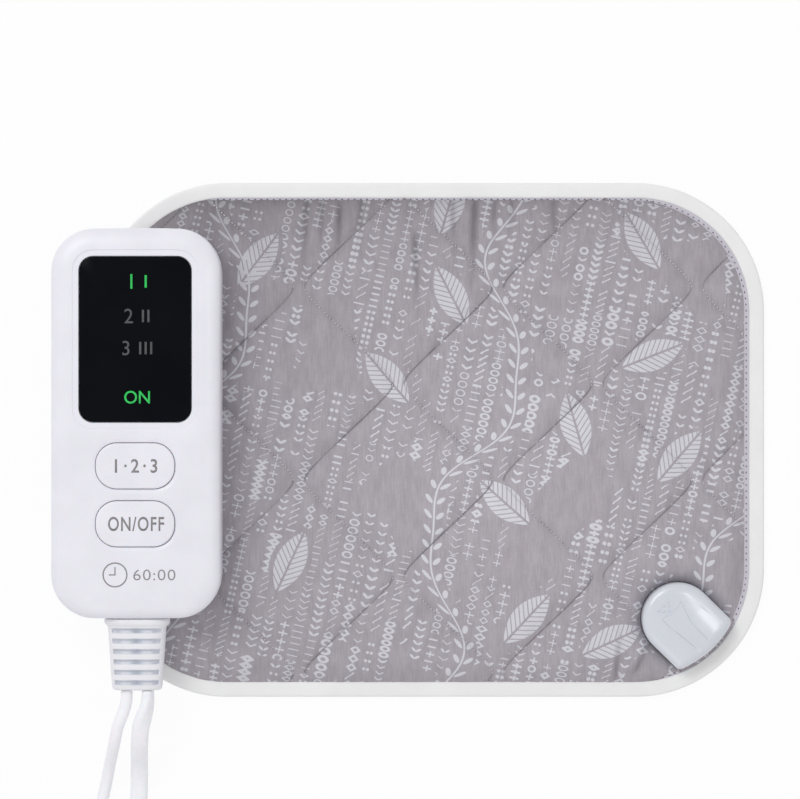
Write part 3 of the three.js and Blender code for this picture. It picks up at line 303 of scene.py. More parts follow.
class Form:
    """Points and faces of one piece while it is shaped."""

    def __init__(self):
        self.points = []
        self.faces = []

    def ring(self, points):
        first = len(self.points)
        self.points.extend(tuple(float(value) for value in point) for point in points)
        return list(range(first, len(self.points)))

    def band(self, lower, upper):
        count = len(lower)
        for i in range(count):
            j = (i + 1) % count
            self.faces.append((lower[i], lower[j], upper[j], upper[i]))

    def stack(self, rings):
        made = [self.ring(ring) for ring in rings]
        for lower, upper in zip(made, made[1:]):
            self.band(lower, upper)
        return made

    def hoop(self, rings):
        """A stack of rings whose last one joins its first."""
        made = self.stack(rings)
        self.band(made[-1], made[0])

    def closed_stack(self, rings):
        made = self.stack(rings)
        self.cap(made[0])
        self.cap(made[-1])

    def cap(self, ring):
        """Closes a ring with a fan around its middle."""
        middle = np.mean([self.points[i] for i in ring], axis=0)
        centre = self.ring([middle])[0]
        count = len(ring)
        self.faces.extend((ring[i], ring[(i + 1) % count], centre) for i in range(count))

    def fill(self, *loops, axes=(0, 1)):
        """Fills the flat area between an outer loop and the holes in it."""
        places = [
            np.array([[self.points[i][axis] for axis in axes] for i in loop]) for loop in loops]
        spots, faces, kept = triangulated(places, [], [])
        corner = {new: old for loop, given in zip(kept, loops) for new, old in zip(loop, given)}
        middles = np.array([spots[list(face)].mean(0) for face in faces])
        clear = np.all([outside(hole, middles) > 0 for hole in places[1:]], axis=0)
        self.faces.extend(
            tuple(corner[i] for i in face)
            for face, on in zip(faces, np.broadcast_to(clear, len(faces))) if on)

    def build(self, name, finish, sharp=35):
        """The finished object, with its faces outwards and its hard edges kept."""
        mesh = bpy.data.meshes.new(name)
        mesh.from_pydata(self.points, [], self.faces)
        tidy(mesh)
        mesh.set_sharp_from_angle(angle=math.radians(sharp))
        mesh.materials.append(finish)
        return added(name, mesh)


def tidy(mesh):
    """Merges doubled points, turns the faces outwards and shades them smooth."""
    shaped = bmesh.new()
    shaped.from_mesh(mesh)
    bmesh.ops.remove_doubles(shaped, verts=shaped.verts, dist=0.002 * MM)
    bmesh.ops.recalc_face_normals(shaped, faces=shaped.faces)
    shaped.to_mesh(mesh)
    shaped.free()
    mesh.polygons.foreach_set("use_smooth", [True] * len(mesh.polygons))
    mesh.update()


def seat(piece, slot, *nodes, body="root"):
    """Lets a piece ride on its body and stand for its nodes. The slot is not used."""
    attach(piece, body)
    if nodes:
        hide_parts(*nodes)
    return piece


def dress(finish, *nodes):
    """Gives nodes of the frame their finish, and shades their round stretches smooth."""
    for node in nodes:
        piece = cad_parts[node]
        piece.data.materials.clear()
        piece.data.materials.append(finish)
        shaded = piece.modifiers.new("smooth_shading", "NODES")
        shaded.node_group = smooth_shading()


def numbered(name, count):
    """The names of like nodes, numbered from 1."""
    return [f"{name}_{index + 1}" for index in range(count)]


def node_tree(name, **inputs):
    """Empty geometry nodes that take a geometry and further named inputs, and give a geometry."""
    group = bpy.data.node_groups.new(name, "GeometryNodeTree")
    for label, kind in {"Geometry": "Geometry", **inputs}.items():
        group.interface.new_socket(label, in_out="INPUT", socket_type="NodeSocket" + kind)
    group.interface.new_socket("Geometry", in_out="OUTPUT", socket_type="NodeSocketGeometry")
    return group


@functools.cache
def smooth_shading():
    """Geometry nodes that join doubled points and keep only the sharper edges hard."""
    group = node_tree("smooth_shading")
    nodes, link = group.nodes, group.links.new
    given, made = nodes.new("NodeGroupInput"), nodes.new("NodeGroupOutput")
    merged = nodes.new("GeometryNodeMergeByDistance")
    merged.inputs["Distance"].default_value = 0.01 * MM
    angle = nodes.new("GeometryNodeInputMeshEdgeAngle")
    gentle = nodes.new("FunctionNodeCompare")
    gentle.operation = "LESS_THAN"
    gentle.inputs["B"].default_value = math.radians(32)
    faces = nodes.new("GeometryNodeSetShadeSmooth")
    edges = nodes.new("GeometryNodeSetShadeSmooth")
    edges.domain = "EDGE"
    link(given.outputs[0], merged.inputs["Geometry"])
    link(merged.outputs[0], faces.inputs["Geometry"])
    link(faces.outputs[0], edges.inputs["Geometry"])
    link(angle.outputs["Unsigned Angle"], gentle.inputs["A"])
    link(gentle.outputs[0], edges.inputs["Shade Smooth"])
    link(edges.outputs[0], made.inputs[0])
    return group


# Finishes


def operation(kind, swapped=False):
    """A method that adds one maths node. Swapped, the field is its second value."""
    def method(self, *others):
        values = (*others, self) if swapped else (self, *others)
        return self.finish.node("ShaderNodeMath", {"operation": kind}, dict(enumerate(values)))

    return method


class Field:
    """A value that varies over a surface. Python's operators on it add shader nodes."""

    __add__, __radd__ = operation("ADD"), operation("ADD", True)
    __sub__, __rsub__ = operation("SUBTRACT"), operation("SUBTRACT", True)
    __mul__, __rmul__ = operation("MULTIPLY"), operation("MULTIPLY", True)
    __truediv__, __rtruediv__ = operation("DIVIDE"), operation("DIVIDE", True)
    __lt__, __gt__ = operation("LESS_THAN"), operation("GREATER_THAN")
    __abs__, floor, share = operation("ABSOLUTE"), operation("FLOOR"), operation("FRACT")
    sine, cosine, arcsine = operation("SINE"), operation("COSINE"), operation("ARCSINE")
    power, root = operation("POWER"), operation("SQRT")
    least, most = operation("MINIMUM"), operation("MAXIMUM")

    def __init__(self, finish, socket):
        self.finish = finish
        self.socket = socket

    def reach(self, other):
        """Length of the two values taken as sides of a right angle."""
        return (self * self + other * other).root()

    def rise(self, low, high):
        """A smooth step from 0 at low to 1 at high."""
        return self.finish.node(
            "ShaderNodeMapRange", {"interpolation_type": "SMOOTHSTEP"},
            {"Value": self, "From Min": low, "From Max": high})


class Finish:
    """A procedural material: one Principled shader and the nodes that feed it."""

    def __init__(self, name, constants):
        self.material = bpy.data.materials.new(name)
        self.material.use_nodes = True
        self.tree = self.material.node_tree
        self.shader = self.tree.nodes["Principled BSDF"]
        for socket, value in constants.items():
            self.shader.inputs[socket].default_value = value

    def node(self, kind, settings, inputs, output=0):
        """One node: its type, its settings, then the values or links of its sockets."""
        made = self.tree.nodes.new(kind)
        for name, value in settings.items():
            setattr(made, name, value)
        for socket, value in inputs.items():
            if isinstance(value, Field):
                self.tree.links.new(value.socket, made.inputs[socket])
            else:
                made.inputs[socket].default_value = value
        return Field(self, made.outputs[output])

    def place(self):
        return self.node("ShaderNodeTexCoord", {}, {}, "Object")

    def axes(self):
        """The place on the piece as three fields, in millimetres."""
        apart = self.node("ShaderNodeSeparateXYZ", {}, {0: self.place()}).socket.node
        return [Field(self, socket) * (1 / MM) for socket in apart.outputs]

    def vector(self, x, y, z):
        return self.node("ShaderNodeCombineXYZ", {}, {0: x, 1: y, 2: z})

    def noise(self, vector, scale, detail=3, roughness=0.55):
        return self.node(
            "ShaderNodeTexNoise", {},
            {"Vector": vector, "Scale": scale, "Detail": detail, "Roughness": roughness})

    def chance(self, x, y, z=0):
        """Three random fields that are the same all over one cell."""
        picked = self.node(
            "ShaderNodeTexWhiteNoise", {"noise_dimensions": "3D"}, {"Vector": self.vector(x, y, z)},
            "Color")
        apart = self.node("ShaderNodeSeparateColor", {}, {0: picked}).socket.node
        return [Field(self, socket) for socket in apart.outputs]

    def blend(self, share, first, second):
        """A colour between two."""
        return self.node(
            "ShaderNodeMix", {"data_type": "RGBA"},
            {"Factor": share, 6: first, 7: second}, 2)

    def shades(self, share, base, first, second):
        """A colour between two shades of one base."""
        return self.blend(share, tinted(base, first), tinted(base, second))

    def paint(self, socket, field):
        self.tree.links.new(field.socket, self.shader.inputs[socket])

    def made(self, colour_field, roughness, height=None, distance=0.0):
        """The material in its colour and roughness, raised by a field in millimetres."""
        self.paint("Base Color", colour_field)
        self.paint("Roughness", roughness)
        if height:
            self.paint("Normal", self.node(
                "ShaderNodeBump", {},
                {"Height": height, "Distance": distance * MM, "Strength": 1.0}))
        return self.material


def tinted(colour_value, factor):
    """The same colour, lighter or darker."""
    return tuple(min(1.0, channel * factor) for channel in colour_value[:3]) + (1.0,)


@functools.cache
def moulded_plastic(name, base, gloss=0.3, coat=0.25):
    """Moulded plastic: an even colour that clouds a little, a fine grain and a soft coat."""
    finish = Finish(name, {
        "Coat Weight": coat, "Coat Roughness": 0.12, "Specular IOR Level": 0.45,
        "Subsurface Weight": 0.06, "Subsurface Scale": 2 * MM})
    place = finish.place()
    cloud = finish.noise(place, 55, 2)
    speck = finish.noise(place, 2600, 2)
    share = (cloud * 0.7 + speck * 0.3).rise(0.35, 0.65)
    return finish.made(
        finish.shades(share, base, 0.975, 1.02), gloss + cloud * 0.06 + speck * 0.04,
        finish.noise(place, 1400, 3), 0.02)


def black_plastic():
    return moulded_plastic("black_insulator", srgb(43, 45, 49), 0.45, 0.1)


def socket_plastic(socket):
    return moulded_plastic("socket_grey", tuple(socket.shell_colour), 0.2, 0.6)


@functools.cache
def cord_jacket(name, base):
    """Soft vinyl jacket: satin, with faint drawing lines and handling marks."""
    finish = Finish(name, {
        "Coat Weight": 0.15, "Coat Roughness": 0.3, "Specular IOR Level": 0.4,
        "Subsurface Weight": 0.1, "Subsurface Scale": 2 * MM})
    place = finish.place()
    cloud = finish.noise(place, 90, 3)
    mark = finish.noise(place, 600, 2)
    return finish.made(
        finish.shades((cloud * 0.6 + mark * 0.4).rise(0.35, 0.7), base, 1.02, 0.96),
        0.36 + mark * 0.12, mark + finish.noise(place, 2200, 2) * 0.5, 0.03)


@functools.cache
def slot_shaded_rubber(name, base, face):
    """Soft moulded rubber, with painted shade, cooler and darker, inside the slots of the boot."""
    finish = Finish(name, {"Coat Weight": 0.1, "Coat Roughness": 0.3, "Specular IOR Level": 0.4})
    x, y, _ = finish.axes()
    cloud = finish.noise(finish.place(), 120, 3)
    reach = face - y
    at = (((reach - BOOT_FIRST_SLOT) / BOOT_SLOT_PITCH + 0.5).share() - 0.5) * BOOT_SLOT_PITCH
    aside = abs(x - CASE_MIDDLE.x / MM)
    # Painted shade inside the slots, thinner where the two cords' cores bulge up
    slots = (1 - abs(at).rise(0.5, 1.15)) * (1 - aside.rise(6.5, 10.8))
    bulge = at.rise(-0.5, 0.5) * (1 - abs(aside - BOOT_CORES).rise(1.2, 3.4))
    first, last = BOOT_FIRST_SLOT - 2, BOOT_FIRST_SLOT + 5.5 * BOOT_SLOT_PITCH
    slots = slots * (1 - bulge * 0.7) * (reach > first) * (reach < last)
    body = finish.shades(cloud.rise(0.3, 0.7), base, 0.97, 1.02)
    return finish.made(
        # Painted shade: the slots are blended towards a cool dark grey
        finish.blend(slots * 0.75, body, srgb(180, 188, 202)), 0.42 + cloud * 0.1,
        finish.noise(finish.place(), 1500, 3), 0.02)


@functools.cache
def metal(name, base, roughness):
    """Plated metal with fine turning marks and a little tarnish."""
    finish = Finish(name, {"Metallic": 1.0})
    place = finish.place()
    marks = finish.noise(place, 3000, 2)
    tarnish = finish.noise(place, 160, 3)
    return finish.made(
        finish.shades(tarnish.rise(0.4, 0.75), base, 1, 0.8), roughness + marks * 0.15, marks, 0.01)


def plated_brass():
    return metal("plated_brass", srgb(214, 196, 150), 0.22)


def plated_steel():
    return metal("plated_steel", srgb(185, 188, 192), 0.3)


@functools.cache
def felted_cloth(name, base):
    """Needled felt: matted fibres in every direction."""
    finish = Finish(name, {"Sheen Weight": 0.2, "Specular IOR Level": 0.15})
    fibres = finish.noise(finish.place(), 1600, 5, 0.7)
    return finish.made(
        finish.shades(fibres.rise(0.3, 0.7), base, 0.88, 1), 0.85 + fibres * 0.15, fibres, 0.3)


def plain_weave(x, y, pitch):
    """Height of a plain weave: warp over weft, and the other way in the next cell."""
    across = (x * (math.pi / pitch)).sine()
    along = (y * (math.pi / pitch)).sine()
    return abs(across) * 0.5 + abs(along) * 0.5 + (across * along) * 0.25


@functools.cache
def woven_tape(name, base):
    """Bias-cut tape: a fine diagonal weave, slightly clouded."""
    finish = Finish(name, {"Sheen Weight": 0.15, "Specular IOR Level": 0.2})
    x, y, _ = finish.axes()
    weave = plain_weave(x + y, x - y, 0.42)
    cloud = finish.noise(finish.place(), 70, 3)
    return finish.made(
        finish.shades(weave * 0.5 + cloud.rise(0.3, 0.7) * 0.5, base, 0.955, 1.015),
        0.78 + weave * 0.12, weave + cloud * 2, 0.05)


@functools.cache
def spun_thread(name, base):
    """Sewing thread, with the twist of its plies."""
    finish = Finish(name, {"Sheen Weight": 0.3, "Specular IOR Level": 0.3})
    x, y, z = finish.axes()
    plies = ((x + y + z) * (TURN / 0.35)).sine() * 0.5 + 0.5
    return finish.made(finish.shades(plies, base, 0.86, 1), 0.6 + plies * 0.2, plies, 0.05)


@functools.cache
def plain_cotton(name, base):
    """Unprinted cotton for the back: plain weave with slubs."""
    finish = Finish(name, {"Sheen Weight": 0.15, "Specular IOR Level": 0.2})
    x, y, _ = finish.axes()
    weave = plain_weave(x, y, 0.4)
    slubs = finish.noise(finish.vector(x * 1.6, y * 0.06, 0), 1, 3)
    cloud = finish.noise(finish.place(), 40, 4)
    return finish.made(
        finish.shades((slubs * 0.6 + cloud * 0.4).rise(0.3, 0.7), base, 0.92, 1.03),
        0.82 + weave * 0.12, weave + slubs, 0.06)


@functools.cache
def printed_ink(name, base):
    """A thin layer of printed ink, broken a little where it is thin."""
    finish = Finish(name, {"Specular IOR Level": 0.3})
    worn = finish.noise(finish.place(), 2500, 3)
    return finish.made(finish.shades(worn.rise(0.55, 0.8), base, 1, 1.15), 0.5 + worn * 0.15)


@functools.cache
def lit_sign(name, base, strength):
    """A sign that light shines through from behind, brightest in its middle."""
    finish = Finish(name, {"Emission Strength": strength, "Roughness": 0.3})
    glow = finish.noise(finish.place(), 300, 2)
    for socket in ("Base Color", "Emission Color"):
        finish.paint(socket, finish.shades(glow.rise(0.3, 0.7), base, 0.75, 1))
    return finish.material


@functools.cache
def dark_glass(name, base):
    """Smoked acrylic window: deep, glossy, with hairline handling marks."""
    finish = Finish(name, {
        "Coat Weight": 0.01, "Coat Roughness": 0.04, "Specular IOR Level": 0.025})
    place = finish.place()
    smear = finish.noise(place, 30, 4)
    return finish.made(
        finish.shades(smear.rise(0.35, 0.8), base, 1, 1.5), 0.1 + smear * 0.08,
        finish.noise(place, 500, 2), 0.003)


@functools.cache
def circuit_laminate(name, base):
    """Green laminate with copper tracks under the lacquer."""
    finish = Finish(name, {"Coat Weight": 0.3, "Coat Roughness": 0.2})
    x, y, _ = finish.axes()
    pitch = 2.54
    here = finish.chance((x / pitch).floor(), (y / (4 * pitch)).floor())[0]
    track = abs((x / pitch).share() - 0.5) < here * 0.25
    return finish.made(finish.shades(track, base, 1, 1.6), 0.35 + track * 0.1, track, 0.03)


@functools.cache
def wound_film(name, base):
    """Film capacitor and fuse body: lacquered, slightly mottled."""
    finish = Finish(name, {"Coat Weight": 0.3})
    mottle = finish.noise(finish.place(), 500, 4)
    return finish.made(
        finish.shades(mottle.rise(0.3, 0.7), base, 0.85, 1), 0.3 + mottle * 0.2, mottle, 0.02)


# Signs


def lettering(name, text, height, middle, level, finish, stretch=1.0, weight=0.0, spacing=1.0):
    """Thin raised signs: height is that of a capital or a figure."""
    curve = bpy.data.curves.new(name, "FONT")
    curve.body = text
    curve.align_x = "CENTER"
    curve.size = 1.0
    curve.offset = weight
    curve.resolution_u = 6
    curve.space_character = spacing
    written = added(name + "_written", curve)
    bpy.context.view_layer.update()
    mesh = bpy.data.meshes.new_from_object(evaluated(written))
    bpy.data.objects.remove(written)
    mesh.name = name
    points = np.array([point.co for point in mesh.vertices])
    low, high = points.min(0), points.max(0)
    factor = height / (high[1] - low[1])
    centre = (low + high) / 2
    shaped = bmesh.new()
    shaped.from_mesh(mesh)
    bmesh.ops.remove_doubles(shaped, verts=shaped.verts, dist=1e-5)
    for point in shaped.verts:
        point.co = (
            (point.co.x - centre[0]) * factor * stretch + middle[0],
            (point.co.y - centre[1]) * factor + middle[1], level)
    raised = bmesh.ops.extrude_face_region(shaped, geom=shaped.faces[:])
    moved = [item for item in raised["geom"] if isinstance(item, bmesh.types.BMVert)]
    bmesh.ops.translate(shaped, vec=(0, 0, SIGN_DEPTH), verts=moved)
    bmesh.ops.recalc_face_normals(shaped, faces=shaped.faces)
    shaped.to_mesh(mesh)
    shaped.free()
    mesh.materials.clear()
    mesh.materials.append(finish)
    return added(name, mesh)


# Routes


def smooth_route(points, spans):
    """Points along a centripetal curve through the given ones."""
    given = [np.array(point, float) for point in points]
    given = [2 * given[0] - given[1], *given, 2 * given[-1] - given[-2]]
    made = []
    for a, b, c, d in zip(given, given[1:], given[2:], given[3:]):
        before, inside, after = (
            math.sqrt(np.linalg.norm(end - start)) for start, end in ((a, b), (b, c), (c, d)))
        leave = ((b - a) / before - (c - a) / (before + inside) + (c - b) / inside) * inside
        arrive = ((c - b) / inside - (d - b) / (inside + after) + (d - c) / after) * inside
        for share in np.arange(spans) / spans:
            made.append(
                b + leave * share + (3 * (c - b) - 2 * leave - arrive) * share ** 2
                + (2 * (b - c) + leave + arrive) * share ** 3)
    made.append(given[-2])
    return np.array(made)


def headings(route):
    """Unit direction at each point of a route."""
    steps = np.diff(route, axis=0)
    steps /= np.linalg.norm(steps, axis=1)[:, None]
    both = np.vstack([steps[:1], steps[:-1] + steps[1:], steps[-1:]])
    return both / np.linalg.norm(both, axis=1)[:, None]


def sweep(route, section, rolls=0.0, grow=None):
    """Rings of a section along a route. The section stays level unless it is rolled."""
    along = headings(route)
    side = np.cross(along, [0, 0, 1])
    side /= np.linalg.norm(side, axis=1)[:, None]
    rise = np.cross(side, along)
    rolls = np.broadcast_to(rolls, len(route))[:, None]
    across = side * np.cos(rolls) + rise * np.sin(rolls)
    up = rise * np.cos(rolls) - side * np.sin(rolls)
    grow = np.ones(len(route)) if grow is None else grow
    return [
        point + factor * (np.outer(section[:, 0], a) + np.outer(section[:, 1], b))
        for point, a, b, factor in zip(route, across, up, grow)]


def rounded_section(width, height, sides=16, fullness=2.0):
    """An oval section; a higher fullness makes it squarer."""
    angles = np.arange(sides) / sides * TURN
    cosines, sines = np.cos(angles), np.sin(angles)
    power = 2 / fullness
    return np.column_stack([
        np.sign(cosines) * np.abs(cosines) ** power * width / 2,
        np.sign(sines) * np.abs(sines) ** power * height / 2])


# Stage


class HEATING_PAD_OT_stage(bpy.types.Operator):
    """Make the floor, the lamps and the camera above them"""

    bl_idname = "heating_pad.stage"
    bl_label = "Stage"

    # Name, place and width in metres, and power: a broad soft lamp from the upper left, two weaker
    # ones, and a small one that only shows as a glint
    lamps = [
        ("soft_lamp", (-0.85, 0.95, 1.5), 1.0, 10.5),
        ("fill_lamp", (1.0, 0.3, 1.3), 0.9, 1.4),
        ("front_lamp", (-0.1, -1.1, 1.2), 1.0, 2.2),
        ("glint_lamp", (0.6, 0.13, 1.3), 0.2, 0.7),
    ]
    floor_reach = 4.0
    rays = ("Is Camera Ray", "Is Glossy Ray", "Is Transmission Ray")

    def execute(self, context):
        stage = context.scene.stage_settings
        form = Form()
        corners = [(x * self.floor_reach, y * self.floor_reach, 0) for x, y in SQUARE]
        form.faces.append(tuple(form.ring(corners)))
        floor = form.build("floor", self.floor_finish(stage))
        self.camera(context.scene, stage)
        for name, place, width, power in self.lamps:
            light = bpy.data.lights.new(name, "AREA")
            light.shape = "RECTANGLE"
            light.size, light.size_y = width, width * 0.7
            light.energy = power
            lamp = added(name, light)
            lamp.location = place
            lamp.rotation_euler = (-Vector(place)).to_track_quat("-Z", "Y").to_euler()
            lamp.visible_diffuse = name != "glint_lamp"
        self.sky(context.scene)
        context.scene.view_settings.view_transform = "Standard"
        return {"FINISHED"}

    def floor_finish(self, stage):
        """Pale floor that reads as white and still takes the object's shadow."""
        finish = Finish("floor_white", {"Roughness": 0.9, "Specular IOR Level": 0.1})
        grain = finish.noise(finish.place(), 8, 2)
        finish.paint("Base Color", finish.shades(grain, stage.floor_colour, 1, 0.985))
        white = finish.node("ShaderNodeEmission", {}, {"Color": (1, 1, 1, 1), "Strength": 1.0})
        light_path = finish.node("ShaderNodeLightPath", {}, {}).socket.node.outputs
        camera, glossy, through = (Field(finish, light_path[kind]) for kind in self.rays)
        share = (camera + glossy + through).least(1) * 0.93
        lifted = finish.node(
            "ShaderNodeMixShader", {},
            {0: share, 1: Field(finish, finish.shader.outputs[0]), 2: white})
        finish.tree.links.new(
            lifted.socket, finish.tree.nodes["Material Output"].inputs["Surface"])
        return finish.material

    def camera(self, scene, stage):
        lens = bpy.data.cameras.new("camera")
        lens.lens = stage.lens
        lens.sensor_width = 36
        lens.clip_end = 20
        scene.camera = added("camera", lens)
        scene.camera.location = (stage.camera_x, stage.camera_y, stage.camera_height)

    def sky(self, scene):
        """Even light from all sides; seen directly it is white."""
        world = bpy.data.worlds.new("studio")
        world.use_nodes = True
        scene.world = world
        tree = world.node_tree
        background = tree.nodes["Background"]
        background.inputs["Color"].default_value = (1.0, 1.0, 1.0, 1.0)
        light_path = tree.nodes.new("ShaderNodeLightPath").outputs
        seen = light_path[self.rays[0]]
        for kind in self.rays[1:]:
            most = tree.nodes.new("ShaderNodeMath")
            most.operation = "MAXIMUM"
            tree.links.new(seen, most.inputs[0])
            tree.links.new(light_path[kind], most.inputs[1])
            seen = most.outputs[0]
        strength = tree.nodes.new("ShaderNodeMapRange")
        strength.inputs["To Min"].default_value = 0.66
        strength.inputs["To Max"].default_value = 1.0
        tree.links.new(seen, strength.inputs["Value"])
        tree.links.new(strength.outputs[0], background.inputs["Strength"])


# Cords


def table_point(x, y, z):
    """A place given in millimetres from the pad's middle, as a place in the frame."""
    return (PAD_MIDDLE.x + x * MM, PAD_MIDDLE.y + y * MM, z * MM)


# The cords' free stretches, from inside the boot down to the table
FLEX_ROUTE = [
    (-120, -105.75, 20.5), (-120, -109.5, 20.5),
    (-120.6, -113.3, 20.5), (-121.8, -117.2, 20.4), (-123, -121, 19.7),
    (-123.5, -125, 18.4), (-123.9, -129, 16.2), (-124.2, -133, 13), (-124.5, -137, 9),
    (-124.7, -141, 6.1), (-124.9, -145, 4.2), (-125, -149, 3.1), (-125.2, -153, 2.6),
    (-125.4, -158, 2.5), (-125.8, -168, 2.5), (-126.3, -180, 2.5), (-126.8, -195, 2.5),
]
PAD_LEAD_ROUTE = [
    (-129, -105.75, 20.5), (-129, -109.5, 20.5),
    (-129.8, -113.3, 20.5), (-131.2, -117.2, 20.4), (-132.7, -121, 19.7),
    (-133.7, -125, 18.4), (-134.6, -129, 16.2), (-135.7, -133, 13), (-136.8, -137, 9),
    (-137.8, -141, 6.2), (-138.7, -145, 4.3), (-139.6, -149, 3.2), (-140.5, -153, 2.7),
    (-141.6, -158, 2.6), (-143.6, -166, 2.6), (-145.6, -175, 2.6), (-147.3, -185, 2.6),
]


class Coil:
    """A coil in two layers that winds in, climbs as it turns back, and winds out again."""

    def __init__(self, x, y, mean, turns, width, height, gap, start, turning):
        self.centre = np.array(table_point(x, y, 0))
        self.turns, self.width, self.height, self.gap = turns, width, height, gap
        self.start, self.turning = start, turning
        self.pitch = width + gap
        self.outer = mean * MM + self.pitch * turns / 4

    def points(self, turn_points):
        """The cord's route round the coil, with a straight stub at each end."""
        layer = (self.turns - 0.5) / 2
        turn = np.linspace(0, self.turns, round(self.turns * turn_points) + 1)
        wound = np.minimum(turn, self.turns - turn)
        climb = eased(np.clip((turn - layer) / 0.5, 0, 1))
        angle = self.start + self.turning * turn * TURN
        radius = self.outer - self.pitch * wound
        spots = self.centre + np.column_stack([
            radius * np.cos(angle), radius * np.sin(angle),
            self.height / 2 + climb * (self.height + self.gap)])
        stub = self.turning * self.width
        first, last = (self.ways(end)[1] * stub for end in (angle[0], angle[-1]))
        return np.vstack([spots[0] - first, spots, spots[-1] + last])

    @staticmethod
    def ways(angle):
        """Unit directions outwards and onwards at a place of the coil."""
        sine, cosine = math.sin(angle), math.cos(angle)
        return np.array([cosine, sine, 0]), np.array([-sine, cosine, 0])

    def tie(self, name, angle, finish):
        """A twist tie round the whole bundle at one place of the coil."""
        outer = self.outer + self.width / 2
        inner = self.outer - self.pitch * self.turns / 2 - self.width / 2
        tall = 2 * self.height + self.gap
        skin, broad, bend, rise = 0.35 * MM, 3.2 * MM, 2.4 * MM, 0.77 * MM
        track, outwards = rounded_track(outer - inner + skin, tall + skin, bend, 1 * MM)
        radial, along = self.ways(angle)
        middle = self.centre + radial * (outer + inner) / 2 + [0, 0, tall / 2 + rise]
        form, rings = Form(), []
        for reach, side in ((0, -1), (0, 1), (skin, 0.8), (skin * 1.6, 0), (skin, -0.8)):
            flat = track + outwards * reach
            rings.append(
                middle + np.outer(flat[:, 0], radial) + flat[:, 1:] * [0, 0, 1]
                + along * side * broad / 2)
        form.hoop(rings)
        self.twist(form, middle, radial, along, (outer - inner) / 2, tall / 2 + skin)
        return form.build(name, finish)

    def twist(self, form, middle, radial, along, reach, top):
        """The twisted ends of the tie, lying on top of the bundle and apart at their tips."""
        length, thick, apart, clear, turns = 15 * MM, 0.55 * MM, 0.75 * MM, 1.1 * MM, 3.5
        tips, spread = 0.8, 7.5
        share = np.linspace(0, 1, 50)
        swing = apart * (1 + spread * np.maximum(share - tips, 0))
        for phase in (0, math.pi):
            angle = share * turns * TURN + phase
            route = (
                middle + np.outer(share * length - reach * 0.55, radial)
                + np.outer(np.cos(angle) * swing, along)
                + np.outer(top + clear + np.sin(angle) * apart, [0, 0, 1]))
            form.closed_stack(sweep(route, rounded_section(1.5 * thick, thick, 8)))


def cord_route(first, wound, last):
    """One route: the free stretch from the boot, the coil, and the tail to the plug."""
    free = smooth_route([*(table_point(*point) for point in first), wound[0]], 6)
    return np.vstack([free[:-1], wound[:-1], smooth_route([wound[-1], *last], 8)])


def make_cord(name, route, section, rolls, finish):
    """A mesh tube along a route, with slightly rounded ends."""
    end_size = 0.93
    grow = np.ones(len(route))
    grow[[0, -1]] = end_size
    form = Form()
    form.closed_stack(sweep(route, section, rolls, grow))
    return form.build(name, finish, 50)


def plug_profile(reaches, full, edge, edge_start):
    """Along a plug: how far it has widened to its full size, and how far its end is rounded off."""
    growth = eased(np.clip(reaches / full, 0, 1))
    return growth, edge * (np.maximum(reaches - edge_start, 0) / (1 - edge_start)) ** 2


class HEATING_PAD_OT_mains_flex(bpy.types.Operator):
    """Make the flat mains flex, its coil with a tie, and its plug"""

    bl_idname = "heating_pad.mains_flex"
    bl_label = "Mains flex"

    # The flex leaves the boot on edge and has turned flat after this reach
    upright, flat_after = math.radians(80), 24 * MM
    blades = numbered("mains_blade", 2)

    def execute(self, context):
        cords = context.scene.cord_settings
        jacket = cord_jacket("cord_white", tuple(cords.jacket_colour))
        width, thickness = cords.flex_width, cords.flex_thickness
        coil = Coil(-72.7, -220, 42, 6.25, width, thickness, cords.coil_gap, math.pi, 1)
        wound = coil.points(cords.turn_points)
        low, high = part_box("mains_plug")
        entry = np.array([low.x, (low.y + high.y) / 2, (low.z + high.z) / 2])
        route = cord_route(FLEX_ROUTE, wound, [(wound[-1] + entry) / 2, entry])
        twist = np.clip(1 - runs_along(route) / self.flat_after, 0, 1)
        section = rounded_section(width, thickness, 20, 2.6)
        flex = make_cord("mains_flex_jacket", route, section, self.upright * eased(twist), jacket)
        seat(flex, "cord_jacket", "mains_flex", "mains_flex_coil", "mains_flex_tail")
        plug = self.plug(low, high, entry, cords, jacket)
        tie = coil.tie("mains_flex_tie", math.radians(60), jacket)
        seat(tie, "cord_jacket")
        dress(plated_brass(), *self.blades)
        return {"FINISHED"}

    def plug(self, low, high, entry, cords, finish):
        """The moulded plug: a ribbed taper, a rounded body and a flat face with two slots."""
        length, wide, tall = high.x - low.x, high.y - low.y, high.z - low.z
        neck, rib_height, ribs, slot_depth = 3 * MM, 0.45 * MM, 13, 5.9 * MM
        reaches = np.concatenate([
            np.linspace(0, 0.46, 34), np.linspace(0.49, 0.965, 12), [0.985, 1.0]])
        growths, edges = plug_profile(reaches, 0.42, 0.9 * MM, 0.965)
        form, rings = Form(), []
        for reach, growth, edge in zip(reaches, growths, edges):
            rib = rib_height * math.sin(reach * TURN * ribs) * (0.06 < reach < 0.4)
            width = (cords.flex_width + neck) * (1 - growth) + wide * growth + rib - 2 * edge
            height = (cords.flex_thickness + neck) * (1 - growth) + tall * growth + rib - 2 * edge
            section = rounded_section(width, min(height, tall), 40, 3.2)
            rings.append(entry + np.insert(section, 0, reach * length, axis=1))
        made = form.stack(rings)
        form.cap(made[0])
        slots = []
        for blade in self.blades:
            blade_low, blade_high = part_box(blade)
            middle, half = (blade_low + blade_high) / 2, (blade_high - blade_low) / 2
            corners = np.array(SQUARE) * np.add(half[1:], PLUG_ROOM) + middle[1:]
            mouth, floor = (
                form.ring(np.insert(corners, 0, place, axis=1))
                for place in (high.x, high.x - slot_depth))
            form.band(mouth, floor)
            form.faces.append(tuple(floor))
            slots.append(mouth)
        form.fill(made[-1], *slots, axes=(1, 2))
        return seat(form.build("mains_plug_body", finish), "cord_jacket", "mains_plug")


